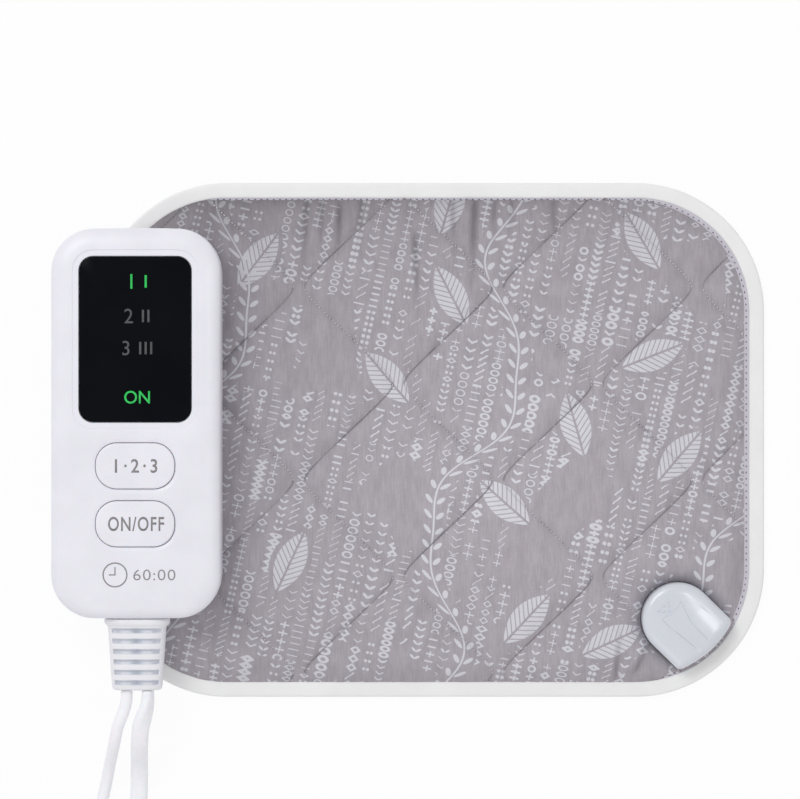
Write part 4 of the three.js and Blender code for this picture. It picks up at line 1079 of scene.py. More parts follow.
class HEATING_PAD_OT_pad_lead(bpy.types.Operator):
    """Make the round lead to the pad, its coil with a tie, and the plug that fits the socket"""

    bl_idname = "heating_pad.pad_lead"
    bl_label = "Pad lead"

    def execute(self, context):
        cords = context.scene.cord_settings
        jacket = cord_jacket("cord_white", tuple(cords.jacket_colour))
        diameter = cords.lead_diameter
        coil = Coil(-184.3, -202, 30.5, 4, diameter, diameter, cords.coil_gap, 0, -1)
        wound = coil.points(cords.turn_points)
        low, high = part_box("pad_plug_shell")
        entry = np.array([(low.x + high.x) / 2, high.y, (low.z + high.z) / 2])
        down = np.array([0, -1, 0]) * (wound[-1][1] - entry[1]) / 4
        route = cord_route(PAD_LEAD_ROUTE, wound, [wound[-1] + down, entry - down, entry])
        lead = make_cord("pad_lead_jacket", route, rounded_section(diameter, diameter), 0, jacket)
        seat(lead, "cord_jacket", "pad_lead", "pad_lead_coil", "pad_lead_tail")
        plug = self.plug(low, high, entry, diameter, context.scene.socket_settings)
        tie = coil.tie("pad_lead_tie", math.radians(135), jacket)
        seat(tie, "cord_jacket")
        dress(black_plastic(), "pad_plug_tongue")
        return {"FINISHED"}

    def plug(self, low, high, entry, diameter, socket):
        """The pad plug's shell: it widens from the lead, with grip ribs on its sides."""
        length, wide, tall = high.y - low.y, high.x - low.x, high.z - low.z
        neck, rib_depth, ribs, mouth_depth = diameter + 3 * MM, 0.5 * MM, 12, 5.2 * MM
        reaches = np.concatenate([np.linspace(0, 0.96, 60), [0.975, 0.99, 1.0]])
        growths, edges = plug_profile(reaches, 0.4, 0.8 * MM, 0.96)
        form, rings = Form(), []
        for reach, growth, edge in zip(reaches, growths, edges):
            rib = 0.5 - 0.5 * math.cos((reach - 0.5) * TURN * ribs)
            grip = rib_depth * rib * (0.5 < reach < 0.84)
            width = neck * (1 - growth) + wide * growth - 2 * edge - 2 * grip
            height = neck * (1 - growth) + tall * growth - 2 * edge
            section = rounded_section(width, min(height, tall), 40, 3.4)
            rings.append(entry + np.insert(section, 1, -reach * length, axis=1))
        made = form.stack(rings)
        form.cap(made[0])
        middle, extent, _ = middle_of("pad_plug_tongue")
        flat, _ = rounded_track(
            extent.x + 2 * PLUG_ROOM, extent.z + 2 * PLUG_ROOM, 1.2 * MM, 1 * MM)
        around = np.insert(flat + [middle.x, middle.z], 1, low.y, axis=1)
        mouth, floor = form.ring(around), form.ring(around + [0, mouth_depth, 0])
        form.band(mouth, floor)
        form.cap(floor)
        form.fill(made[-1], mouth, axes=(0, 2))
        shell = socket_plastic(socket)
        return seat(form.build("pad_plug_body", shell), "socket_plastic", "pad_plug_shell")


# Pad


def seam_place(pad, column, y):
    """Where the quilting seam of a column runs at a height y: a zigzag with rounded tips."""
    rows = (y - pad.quilt_origin[1]) / pad.quilt_row + column
    wave = np.arcsin(-SEAM_TIPS * np.cos(math.pi * rows))
    return (
        pad.quilt_origin[0] + (column + 0.5) * pad.quilt_pitch
        + pad.quilt_swing * wave / math.asin(SEAM_TIPS))


def seam_columns(pad):
    """The columns whose seams cross the pad."""
    reach = math.ceil(PAD_SIZE.x / 2 / pad.quilt_pitch) + 1
    return range(-reach, reach + 1)


def beyond_corners(pad, points):
    """How far points lie beyond the middles of the pad's corners, across and along."""
    half = np.array([PAD_SIZE.x, PAD_SIZE.y]) / 2 - pad.corner_radius
    return np.abs(points) - half


def inside_pad(pad, points):
    """How far points lie inside the pad's outline."""
    beyond = beyond_corners(pad, points)
    outer = np.linalg.norm(np.maximum(beyond, 0), axis=1)
    return pad.corner_radius - outer - np.minimum(beyond.max(1), 0)


def pad_track(pad, spacing):
    """Points along the pad's outline, and the outward direction at each."""
    return rounded_track(PAD_SIZE.x, PAD_SIZE.y, pad.corner_radius, spacing)


def facing(pad, points):
    """Unit direction from each point to the nearest part of the pad's edge."""
    beyond = beyond_corners(pad, points)
    outer = np.maximum(beyond, 0)
    straight = np.where(beyond == beyond.max(1)[:, None], 1.0, 0.0)
    ways = np.where((outer.min(1) > 0)[:, None], outer, straight) * np.sign(points)
    return ways / np.maximum(np.linalg.norm(ways, axis=1), 1e-9)[:, None]


def lip_share(directions):
    """How much of the tape's inner lip shows towards a direction: most to the right."""
    return np.clip((directions @ towards(math.radians(8)) + 0.12) * 1.5, 0, 1)


def outside(outline, points):
    """How far points lie outside a closed outline; negative inside it."""
    ends = np.roll(outline, -1, axis=0)
    sides = ends - outline
    least = np.full(len(points), math.inf)
    crossings = np.zeros(len(points), bool)
    for start, end, side in zip(outline, ends, sides):
        apart = points - start
        share = np.clip(apart @ side / (side @ side), 0, 1)
        least = np.minimum(least, np.linalg.norm(apart - np.outer(share, side), axis=1))
        spans = (start[1] > points[:, 1]) != (end[1] > points[:, 1])
        rise = side[1] if side[1] else 1e-12
        crossings ^= spans & (points[:, 0] < start[0] + side[0] * (points[:, 1] - start[1]) / rise)
    return np.where(crossings, -least, least)


def socket_outline(socket, inset=0.0, spacing=1.0):
    """The socket's outline: round at its inner end, and bowed like the pad's corner outside."""
    side, end, corner = socket.radius - inset, socket.end_radius - inset, socket.corner
    end_centre = np.array([-socket.end_reach, socket.end_aside])

    def arc(centre, radius, start, stop):
        steps = max(3, round(abs(stop - start) * radius / (spacing * MM)))
        angles = np.linspace(start, stop, steps + 1)
        return centre + radius * np.column_stack([np.cos(angles), np.sin(angles)])

    def corner_centre(way):
        y = way * (side - corner)
        reach = math.sqrt((end - corner) ** 2 - (y - end_centre[1]) ** 2)
        return np.array([end_centre[0] + reach, y])

    low, high = corner_centre(-1), corner_centre(1)
    low_angle, high_angle = (math.atan2(*(c - end_centre)[::-1]) for c in (low, high))
    return np.vstack([
        arc(low, corner, -math.pi / 2, low_angle)[:-1],
        arc(end_centre, end, low_angle, high_angle)[:-1],
        arc(high, corner, high_angle, math.pi / 2),
        arc(np.zeros(2), side, math.pi / 2, 3 * math.pi / 2)])


def socket_place(socket):
    """Turns places on the socket into places in the frame."""
    middle, _, low = middle_of("socket_base_shell")
    shape = socket_outline(socket)
    turned = Matrix.Rotation(socket.turn, 2)
    spread = np.array([turned @ Vector(point) for point in shape])
    centre = (spread.min(0) + spread.max(0)) / 2
    return Matrix.Translation((middle.x - centre[0], middle.y - centre[1], low.z)) @ turned.to_4x4()


def flat_places(matrix, points):
    """Flat points carried by a place matrix, still flat."""
    return np.array([(matrix @ Vector((*point, 0)))[:2] for point in points])


def triangulated(loops, lines, points):
    """Triangles over flat points that keep to the given loops and lines: places, faces, loops."""
    flat, edges, kept = [], [], []
    for loop in loops:
        first = len(flat)
        flat.extend(loop)
        edges += [(first + i, first + (i + 1) % len(loop)) for i in range(len(loop))]
        kept.append(range(first, len(flat)))
    for line in lines:
        first = len(flat)
        flat.extend(line)
        edges += [(first + i, first + i + 1) for i in range(len(line) - 1)]
    flat.extend(points)
    spots, _, faces, sources, _, _ = delaunay_2d_cdt(
        [Vector(point) for point in flat], edges, [], 1, 1e-7)
    place = {source: index for index, given in enumerate(sources) for source in given}
    return (
        np.array(spots), [tuple(face) for face in faces],
        [[place[source] for source in loop] for loop in kept])


class HEATING_PAD_OT_cloth(bpy.types.Operator):
    """Make the quilted, printed face of the pad, puffed between its seams"""

    bl_idname = "heating_pad.cloth"
    bl_label = "Quilted cloth"

    # Folds that the tape draws in: from x, y to x, y, then height and half width, in millimetres
    folds = [
        (15.9, 103, 14.2, 58, 1.7, 1.9), (-9.6, 88, -7.7, 50, 1.5, 1.7),
        (-41.6, 101, -42.4, 76, 1.5, 1.8), (-32.5, 103, -33, 76, 1.0, 1.7),
        (6.8, 103, 7.6, 74, 1.1, 1.6), (24.8, 103, 24, 80, 0.9, 1.6),
        (32.2, 103, 31.8, 84, 0.9, 1.6), (48.5, 103, 51, 80, 1.0, 2.2),
        (-56, 103, -57.2, 66, 1.2, 1.9), (-49.2, 103, -49.4, 78, 1.1, 1.7),
        (76.2, -102, 78.5, -78, 1.4, 1.7), (84.5, -98, 93.5, -80, 1.4, 1.8),
    ]
    # Distance of the points in a row on each side of a seam, the padding's least thickness, and the
    # height of the cloth where it meets the socket
    beside_seam, thinnest, socket_level = 1 * MM, 0.8 * MM, 3.9 * MM

    def execute(self, context):
        pad = context.scene.pad_settings
        hole = self.socket_hole(context.scene.socket_settings)
        seams = [line for column in seam_columns(pad) for line in self.seam(pad, column, hole)]
        flat, faces, loops = self.surface(pad, hole, seams)
        top = at_level(flat, self.levels(pad, flat, hole))
        top = self.settled(pad, top, faces, hole)
        under = np.minimum(top[:, 2] - self.thinnest, self.under_levels(pad, flat))
        form = Form()
        form.ring(top + [*PAD_CENTRE, 0])
        form.ring(at_level(flat + PAD_CENTRE, under))
        below = len(flat)
        form.faces = [*faces, *(tuple(corner + below for corner in face[::-1]) for face in faces)]
        for loop in loops:
            form.band([corner + below for corner in loop], loop)
        cloth = form.build("quilted_face", self.print_finish(pad), 80)
        # Painted shade and light, kept on the cloth's points
        self.tone(cloth)
        seat(cloth, "printed_cloth", "quilted_front")
        self.stitches(pad, seams, hole)
        return {"FINISHED"}

    def socket_hole(self, socket):
        around = socket_outline(socket, -0.25 * MM, 1.6)
        return flat_places(socket_place(socket), around) - PAD_CENTRE

    def seam(self, pad, column, hole):
        """The stretches of one seam that lie on the cloth, clear of the rim and the socket."""
        step, rim_room, hole_room = 1.5 * MM, 1.5 * MM, 2 * MM
        y = np.arange(-PAD_SIZE.y / 2, PAD_SIZE.y / 2, step)
        line = np.column_stack([seam_place(pad, column, y), y])
        inside = inside_pad(pad, line) > pad.binding_width + rim_room
        held = inside & (outside(hole, line) > hole_room)
        changes = np.flatnonzero(np.diff(held.astype(int))) + 1
        stretches = zip(np.split(line, changes), np.split(held, changes))
        return [stretch for stretch, on in stretches if on[0] and len(stretch) > 2]

    def surface(self, pad, hole, seams):
        """Flat triangles that keep to the rim, the socket's hole and the seams."""
        step = pad.cloth_step
        room, seam_room = step * 0.6, step * 0.75
        rim_inset = pad.binding_width - pad.tuck
        track, outwards = pad_track(pad, step)
        rim = track - outwards * rim_inset
        rows = np.arange(-PAD_SIZE.y / 2, PAD_SIZE.y / 2, step * math.sqrt(3) / 2)
        columns = np.arange(-PAD_SIZE.x / 2, PAD_SIZE.x / 2, step)
        grid = np.array([
            (x + (index % 2) * step / 2, y) for index, y in enumerate(rows) for x in columns])
        # Beside a fold each triangle has the points of four smaller ones
        near = grid[self.from_fold(grid) < FOLD_REACH + step]
        shifts = step * np.array([(0, 0), (0.5, 0), (0.25, 0.433), (0.75, 0.433)])
        fine = (near[:, None] + shifts).reshape(-1, 2)
        grid = np.vstack([
            grid[self.from_fold(grid) >= FOLD_REACH], fine[self.from_fold(fine) < FOLD_REACH]])
        beside = np.vstack([
            line + [side * self.beside_seam / SEAM_SLANT, 0] for line in seams for side in (-1, 1)])

        def clear(points, from_seam):
            """The points that lie clear of the rim, of the hole, and so far from the seams."""
            return points[
                (inside_pad(pad, points) > rim_inset + room) & (outside(hole, points) > room)
                & (self.from_seam(pad, points) > from_seam)]

        points = [*clear(beside, 0.6 * self.beside_seam), *clear(grid, seam_room)]
        spots, faces, loops = triangulated([rim, hole], seams, points)
        middles = np.array([spots[list(face)].mean(0) for face in faces])
        return spots, [face for face, on in zip(faces, outside(hole, middles) > 0) if on], loops

    def along_folds(self, points):
        """For each fold: how far points lie along it and to its right, its length and own sizes."""
        for start_x, start_y, end_x, end_y, height, width in self.folds:
            way = np.array([end_x - start_x, end_y - start_y])
            length = np.linalg.norm(way)
            way = way / length
            offset = points / MM - [start_x, start_y]
            side = offset @ np.array([-way[1], way[0]]) * -np.sign(way[1])
            yield offset @ way, side, length, height, width

    def from_fold(self, points):
        """Distance from points to the nearest fold, in metres."""
        return np.min([
            np.hypot(side, np.maximum(np.maximum(-along, along - length), 0)) * MM
            for along, side, length, _, _ in self.along_folds(points)], axis=0)

    def folded(self, points):
        """What folds add: the height of a rounded ridge, and the depth of a hollow on its right."""
        ridges, hollows = np.zeros(len(points)), np.zeros(len(points))
        rise, fall = 5, 0.7
        hollow_place, hollow_width = 1.5, 0.6
        for along, side, length, height, width in self.along_folds(points):
            fade = np.clip(along / rise + 0.5, 0, 1)
            fade = fade * np.clip((length - along) / (fall * length), 0, 1)
            ridges += height * MM * fade * np.exp(-(side / width) ** 2)
            hollows += height * MM * fade * np.exp(
                -((side / width - hollow_place) / hollow_width) ** 2)
        return ridges, hollows

    def tone(self, cloth):
        """Paints shade into the cloth's points: darker in the folds' hollows, at the top rim and to
        the left, and a little painted light in the middle.
        """
        places = np.empty(len(cloth.data.vertices) * 3)
        cloth.data.vertices.foreach_get("co", places)
        flat = places.reshape(-1, 3)[:, :2] - PAD_CENTRE
        right, top = (flat / np.array(PAD_SIZE[:2]) + 0.5).T
        down, across = (1 - top) * PAD_SIZE.y / MM, right * PAD_SIZE.x / MM
        top_rim_shade = np.exp(-np.maximum(down - 8, 0) / 10) * (1.15 - 0.6 * right)
        left_side_shade = np.exp(-np.maximum(across - 55, 0) / 42) * (0.35 + 0.65 * top ** 2)
        middle_painted_light = np.exp(-((right - 0.58) / 0.28) ** 2 - ((top - 0.42) / 0.3) ** 2)
        fold_hollow_shade = np.clip(self.folded(flat)[1] / (1.5 * MM), 0, 1)
        # Painted shade, less a little painted light in the middle
        shade = 0.16 * top_rim_shade + 0.11 * left_side_shade - 0.05 * middle_painted_light + 0.16 * fold_hollow_shade
        layer = cloth.data.attributes.new("tone", "FLOAT", "POINT")
        layer.data.foreach_set("value", (1 - shade) ** 2.2)

    def from_seam(self, pad, points):
        """How far points lie from the nearest seam, measured across it."""
        across = [
            np.abs(points[:, 0] - seam_place(pad, column, points[:, 1]))
            for column in seam_columns(pad)]
        return np.min(across, axis=0) * SEAM_SLANT

    def from_rim(self, pad, flat):
        """How far points lie inside the line where the cloth goes under the tape."""
        return inside_pad(pad, flat) - pad.binding_width + pad.tuck

    def levels(self, pad, flat, hole):
        """Height of the cloth: puffed between the seams, low at the rim and the socket."""
        puff_reach, socket_reach, fade_reach = 11 * MM, 7 * MM, 2 * MM
        groove_depth, groove_width = 0.5 * MM, 0.7 * MM
        seam = self.from_seam(pad, flat)
        lip = (pad.lip_width + pad.tuck) * lip_share(facing(pad, flat))
        rim = np.maximum(self.from_rim(pad, flat) - lip, 0)
        socket = outside(hole, flat)
        puff = 1 - (1 - np.clip(seam / puff_reach, 0, 1)) ** 2.4
        full = pad.channel_level + (pad.crown_level - pad.channel_level) * puff
        full -= groove_depth * np.exp(-seam / groove_width)
        slope = 1 - (1 - np.clip(rim / pad.rim_slope, 0, 1)) ** 2.2
        levels = pad.rim_level + (full - pad.rim_level) * slope
        held = 1 - (1 - np.clip(socket / socket_reach, 0, 1)) ** 2
        levels = self.socket_level + (levels - self.socket_level) * held
        ridges, hollows = self.folded(flat)
        fade = np.clip(rim / fade_reach, 0, 1) * np.clip(seam / fade_reach, 0.3, 1)
        return levels + (ridges - 0.6 * hollows) * fade + self.ripples(flat, seam, rim, socket)

    def settled(self, pad, sheet, faces, hole):
        """The sheet after a cloth simulation: held where it is sewn, slack in between."""
        flat = sheet[:, :2]
        seam_hold, edge_hold = 0.3 * MM, 0.6 * MM
        rim = inside_pad(pad, flat) - pad.binding_width
        sewn = (self.from_seam(pad, flat) < seam_hold) | (rim < edge_hold)
        sewn |= outside(hole, flat) < edge_hold
        mesh = bpy.data.meshes.new("loose_sheet")
        mesh.from_pydata(sheet * SIMULATION_SCALE, [], faces)
        loose = added("loose_sheet", mesh)
        pins = loose.vertex_groups.new(name="sewn")
        pins.add(np.flatnonzero(sewn).tolist(), 1.0, "REPLACE")
        pins.add(np.flatnonzero(~sewn).tolist(), pad.padding_hold, "REPLACE")
        modifier = loose.modifiers.new("cloth", "CLOTH")
        cloth = modifier.settings
        cloth.vertex_group_mass = "sewn"
        cloth.quality = 5
        cloth.shrink_min = -pad.slack
        cloth.tension_stiffness = cloth.compression_stiffness = 10
        cloth.bending_stiffness = 10
        cloth.use_pressure = True
        cloth.uniform_pressure_force = 0.5
        cloth.effector_weights.gravity = 0
        modifier.collision_settings.use_collision = False
        modifier.point_cache.frame_end = SIMULATION_FRAMES
        scene = bpy.context.scene
        for moment in range(1, SIMULATION_FRAMES + 1):
            scene.frame_set(moment)
        reached = np.empty(len(sheet) * 3)
        evaluated(loose).data.vertices.foreach_get("co", reached)
        scene.frame_set(1)
        bpy.data.objects.remove(loose)
        moved = reached.reshape(-1, 3) / SIMULATION_SCALE - sheet
        most = np.array([0.8, 0.8, 1.2]) * MM
        return sheet + most * np.tanh(self.softened(moved, faces, sewn) / most)

    def softened(self, moved, faces, sewn):
        """The same moves, evened out a little with those of the points next to each."""
        corners = np.array(faces)
        sides = np.vstack([corners[:, [0, 1]], corners[:, [1, 2]], corners[:, [2, 0]]])
        sides = np.vstack([sides, sides[:, ::-1]])
        count = np.maximum(np.bincount(sides[:, 0], minlength=len(moved)), 1)
        for _ in range(2):
            total = np.zeros_like(moved)
            np.add.at(total, sides[:, 0], moved[sides[:, 1]])
            moved = np.where(sewn[:, None], moved, (moved + total / count[:, None]) / 2)
        return moved

    def ripples(self, flat, seam, rim, socket):
        """Small puckers that the stitches draw, fading away from them."""
        x, y = flat[:, 0] / MM, flat[:, 1] / MM
        edge_x, edge_y = (np.array([PAD_SIZE.x, PAD_SIZE.y]) / 2 - np.abs(flat)).T
        wander = 1.5 * np.sin(x * 0.09 + 1.3) + 1.2 * np.sin(y * 0.07 - x * 0.045)
        strong = 0.55 + 0.45 * np.sin(x * 0.031 + 0.8) * np.sin(y * 0.043 - 0.4)
        along = np.sin(y * TURN / 6.3 + wander)
        along += 0.6 * np.sin((y - 0.5 * x) * TURN / 10.5 + 2 * wander)
        near = np.exp(-seam / (4.5 * MM)) * (1 - np.exp(-seam / (0.6 * MM)))
        drawn = 0.6 + 0.4 * np.sin(x * 0.083 + 2 * np.sign(y))
        down = np.sin(x * TURN / 10.5 + wander * 1.3) + 0.5 * np.sin(x * TURN / 6.1 + wander)
        over = np.sin(y * TURN / 8.5 + wander) * np.exp(-edge_x / (13 * MM))
        around = down * np.exp(-edge_y / (19 * MM)) * drawn + over * 0.7
        draw = (near * along * 0.2 * strong + around * (0.25 + 0.4 * strong)) * MM
        return draw * np.clip(rim / (3 * MM), 0, 1) * np.clip(socket / (3 * MM), 0, 1)

    def under_levels(self, pad, flat):
        """Height of the padding's underside, which arches over the wire."""
        foot, arch, start, reach = 2 * MM, 2.6 * MM, 5 * MM, 7 * MM
        return foot + arch * np.clip((self.from_rim(pad, flat) - start) / reach, 0, 1)

    def stitches(self, pad, seams, hole):
        """Thread that shows on the seams: it lies high on one slant and sinks in on the other,
        where it gets painted shade.
        """
        high, sunk = [], []
        high_rise, sunk_rise, thickness = 0.42 * MM, 0.02 * MM, 0.4 * MM
        for line in seams:
            leaning = np.diff(line[:, 0]) > 0
            turns = np.flatnonzero(np.diff(leaning.astype(int))) + 1
            for stretch in np.split(line, turns):
                if len(stretch) < 3:
                    continue
                rising = stretch[-1, 0] > stretch[0, 0]
                level = self.levels(pad, stretch, hole) + (sunk_rise if rising else high_rise)
                (sunk if rising else high).append(np.column_stack([stretch + PAD_CENTRE, level]))
        thread = spun_thread("quilting_thread", tuple(pad.thread_colour))
        # Painted shade: the sunk stitches take a half-dark copy of the thread's colour
        shaded_thread_finish = spun_thread("shaded_thread", tinted(pad.thread_colour, 0.5))
        for name, lines, finish in (
                ("quilting_stitches", high, thread), ("sunk_stitches", sunk, shaded_thread_finish)):
            seat(stitched(
                name, lines, pad.stitch_pitch, pad.stitch_length, thickness, finish),
                "printed_cloth")

    def print_finish(self, pad):
        """Grey cotton with pale printed motifs in slanting columns."""
        finish = Finish("printed_cotton", {"Sheen Weight": 0.12, "Specular IOR Level": 0.15})
        x, y, _ = finish.axes()
        ink = PrintedMotifs(finish).ink(x, y)
        slubs = finish.noise(finish.vector(x * 1.5, y * 0.13, 0), 1, 3)
        fine = finish.noise(finish.vector(x * 0.28, y * 3.1, 0), 1, 2)
        cloud = finish.noise(finish.vector(x * 0.22, y * 0.09, 0), 1, 4)
        weave = plain_weave(x, y, 0.38)
        ground = finish.shades(
            (slubs * 0.4 + fine * 0.2 + cloud * 0.4).rise(0.36, 0.64),
            pad.cloth_colour, 0.87, 1.07)
        worn = ink * (fine * 0.35 + 0.72).least(1)
        painted = finish.blend(worn, ground, tuple(pad.print_colour))
        crease = self.crease(finish, pad, x, y)
        # Painted shade: the cloth darkens in the seams' creases
        shade = finish.blend(crease * 0.6, painted, tinted(pad.cloth_colour, 0.5))
        # The painted shade and light from the cloth's points darken the printed colour
        tone = finish.node("ShaderNodeAttribute", {"attribute_name": "tone"}, {}, "Fac")
        shaded_colour = finish.node(
            "ShaderNodeMix", {"data_type": "RGBA", "blend_type": "MULTIPLY"},
            {"Factor": 1.0, 6: shade, 7: tone}, 2)
        relief = weave * 0.06 + slubs * 0.12 + fine * 0.05 - crease * 0.45
        return finish.made(shaded_colour, 0.84 + weave * 0.1, relief, 1)

    def crease(self, finish, pad, x, y):
        """1 in the narrow crease that the stitches pull into the cloth. It sinks the crease's bump
        and sets painted shade there, stronger on the seams of one slant.
        """
        pitch, row = pad.quilt_pitch / MM, pad.quilt_row / MM
        origin_x, origin_y = (PAD_CENTRE + pad.quilt_origin) / MM
        phase = (y - origin_y) * (math.pi / row)
        swing = (phase.cosine() * -SEAM_TIPS).arcsine() * (
            pad.quilt_swing / MM / math.asin(SEAM_TIPS))
        fades = finish.noise(finish.place(), 45, 2).rise(0.35, 0.6)
        lines = []
        for side in (1, -1):
            place = (x - origin_x - pitch * (1 - side * 0.5) - swing * side) / (2 * pitch)
            nearest = abs((place + 0.5).share() - 0.5) * (2 * pitch)
            # The crease and its painted shade are strongest on the seams of one slant
            strong = (phase.sine() * side > 0) * (fades * 0.6 + 0.2) + 0.12
            lines.append((1 - nearest.rise(0.1, 0.55)) * strong)
        return lines[0].most(lines[1])


class PrintedMotifs:
    """Small line motifs in columns, sparse large leaves and a vine, as one field of ink."""

    slant = math.radians(-13)
    column = 6.3

    def __init__(self, finish):
        self.finish = finish

    def ink(self, x, y):
        cosine, sine = math.cos(self.slant), math.sin(self.slant)
        across, along = x * cosine + y * sine, y * cosine - x * sine
        small = self.columns(across, along)
        leaf, blank = self.leaves(across, along)
        vine, clear = self.vine(across, along)
        return (small * (1 - blank.most(clear))).most(leaf).most(vine)

    def columns(self, across, along):
        """Chains of one motif each, that change from block to block."""
        pick = self.finish.chance
        column = (across / self.column).floor()
        tight, shift, lean = pick(column, 0.5, 1.5)
        pitch = tight * 1.3 + 2.6
        moved = along + shift * 60
        row = (moved / pitch).floor()
        u = ((across / self.column).share() - 0.5) * self.column + (lean - 0.5) * 0.8
        v = ((moved / pitch).share() - 0.5) * pitch
        vary, gap, _ = pick(column, row, 2.5)
        block, strong, wide = pick(column, ((along + lean * 40) / 17).floor(), 3.5)
        chosen = ((block * 8 + (vary > 0.9) * 3) / 8).share() * 8
        half = strong.power(2) * 0.34 + 0.2
        reach = wide * 0.7 + 1.55
        tall = pitch * 0.4
        side, height = abs(u), abs(v)
        round_off = (u / reach).reach(v / tall)
        fold = side - reach * 0.5
        motifs = [
            abs(round_off - 0.85) * tall - half,
            fold.reach(v) - half - 0.4,
            (side - reach).most(height - half),
            abs(v - side * 0.6 + reach * 0.3).most((side - reach) + half) - half,
            abs(side / reach + height / tall - 0.9) * tall * 0.75 - half,
            side.least(height).most((round_off - 1) * tall + half) - half,
            ((fold * 0.8 + v * 0.6) * 0.6).reach((v * 0.8 - fold * 0.6) * 1.5) - half - 0.45,
            abs(u - (v * (TURN / 2 / pitch)).sine() * reach * 0.7) - half,
        ]
        shape = motifs[0]
        for index, motif in enumerate(motifs[1:], start=1):
            shape = shape + (motif - shape) * (chosen > index)
        place = self.finish.vector(across * 0.021, along * 0.016, 0)
        bare = self.finish.noise(place, 1, 1) > 0.6
        kept = (gap > 0.06) * (wide > 0.1) * (1 - bare)
        return (1 - shape.rise(-0.08, 0.1)) * kept

    def leaves(self, across, along):
        """Large single leaves with a midrib and veins, and the blank patch round each."""
        wide, tall = 47.0, 41.0
        reach, half, margin, side_margin = 14.5, 6.4, 2, 2.2
        offset = ((along / tall).floor() * 0.37).share() * wide
        cell_x = ((across + offset) / wide).floor()
        cell_y = (along / tall).floor()
        lean, aside, there = self.finish.chance(cell_x, cell_y, 4.5)
        u = (((across + offset) / wide).share() - 0.5) * wide - (aside - 0.5) * 16
        v = ((along / tall).share() - 0.5) * tall - (lean - 0.5) * 8
        tilt = (lean - 0.5) * 2.4
        sine, cosine = tilt.sine(), tilt.cosine()
        s = u * cosine + v * sine
        t = v * cosine - u * sine
        belly = 1 - (t / reach).power(2)
        edge = abs(s) - belly * half
        body = (1 - edge.rise(-0.3, 0.2)) * (abs(t) < reach)
        rib = abs(s).rise(0.35, 0.6)
        veins = abs(((t - abs(s) * 0.9) / 2.6).share() - 0.5).rise(0.07, 0.15)
        shown = there < 0.3
        patch = (edge < side_margin) * (abs(t) < reach + margin) * shown
        return body * rib * veins * shown, patch

    def vine(self, across, along):
        """A winding stem with small leaves on both sides, and the clear band beside it."""
        reach = 118.0
        middle = (along / 19).sine() * 13 + (along / 7.3).sine() * 2.5
        nearest = ((across - middle + 31) / reach).share() * reach - reach / 2
        stem = 1 - abs(nearest).rise(0.3, 0.55)
        step = 6.4
        at = ((along / step).share() - 0.5) * step
        out = abs(nearest) - 2.6
        leaf = ((out * 0.7 - at * 0.7) * 1.5).reach((out * 0.7 + at * 0.7) * 0.62) - 1.35
        return stem.most(1 - leaf.rise(-0.1, 0.15)), abs(nearest) < 5.6


# Threads


@functools.cache
def stitching_nodes():
    """Geometry nodes that lay small stitches along curves, each in line with its curve."""
    group = node_tree(
        "stitching", Pitch="Float", Length="Float", Thickness="Float", Finish="Material")
    nodes, link = group.nodes, group.links.new
    given, made = nodes.new("NodeGroupInput"), nodes.new("NodeGroupOutput")
    curves = nodes.new("GeometryNodeMeshToCurve")
    spaced = nodes.new("GeometryNodeResampleCurve")
    spaced.mode = "LENGTH"
    stitch = nodes.new("GeometryNodeMeshUVSphere")
    stitch.inputs["Segments"].default_value = 8
    stitch.inputs["Rings"].default_value = 5
    stitch.inputs["Radius"].default_value = 0.5
    smooth = nodes.new("GeometryNodeSetShadeSmooth")
    size_of = nodes.new("ShaderNodeCombineXYZ")
    tangent = nodes.new("GeometryNodeInputTangent")
    turned = nodes.new("FunctionNodeAlignEulerToVector")
    turned.axis = "X"
    laid = nodes.new("GeometryNodeInstanceOnPoints")
    real = nodes.new("GeometryNodeRealizeInstances")
    painted = nodes.new("GeometryNodeSetMaterial")
    for source, target, socket in (
            (given.outputs["Geometry"], curves, "Mesh"), (curves.outputs[0], spaced, "Curve"),
            (given.outputs["Pitch"], spaced, "Length"), (given.outputs["Length"], size_of, "X"),
            (given.outputs["Thickness"], size_of, "Y"), (given.outputs["Thickness"], size_of, "Z"),
            (tangent.outputs[0], turned, "Vector"), (spaced.outputs[0], laid, "Points"),
            (stitch.outputs["Mesh"], smooth, "Geometry"), (smooth.outputs[0], laid, "Instance"),
            (turned.outputs[0], laid, "Rotation"), (size_of.outputs[0], laid, "Scale"),
            (laid.outputs[0], real, "Geometry"), (real.outputs[0], painted, "Geometry"),
            (given.outputs["Finish"], painted, "Material"), (painted.outputs[0], made, "Geometry")):
        link(source, target.inputs[socket])
    return group


def stitched(name, lines, pitch, length, thickness, finish):
    """One mesh of stitches along the given lines."""
    points, edges = [], []
    for line in lines:
        first = len(points)
        points.extend(tuple(point) for point in line)
        edges += [(first + i, first + i + 1) for i in range(len(line) - 1)]
    mesh = bpy.data.meshes.new(name + "_lines")
    mesh.from_pydata(points, edges, [])
    guide = added(name + "_guide", mesh)
    laid = guide.modifiers.new("stitching", "NODES")
    laid.node_group = stitching_nodes()
    given = {"Pitch": pitch, "Length": length, "Thickness": thickness, "Finish": finish}
    for item in laid.node_group.interface.items_tree:
        if item.in_out == "INPUT" and item.name in given:
            laid[item.identifier] = given[item.name]
    bpy.context.view_layer.update()
    stitches = bpy.data.meshes.new_from_object(evaluated(guide))
    stitches.name = name
    bpy.data.objects.remove(guide)
    return added(name, stitches)


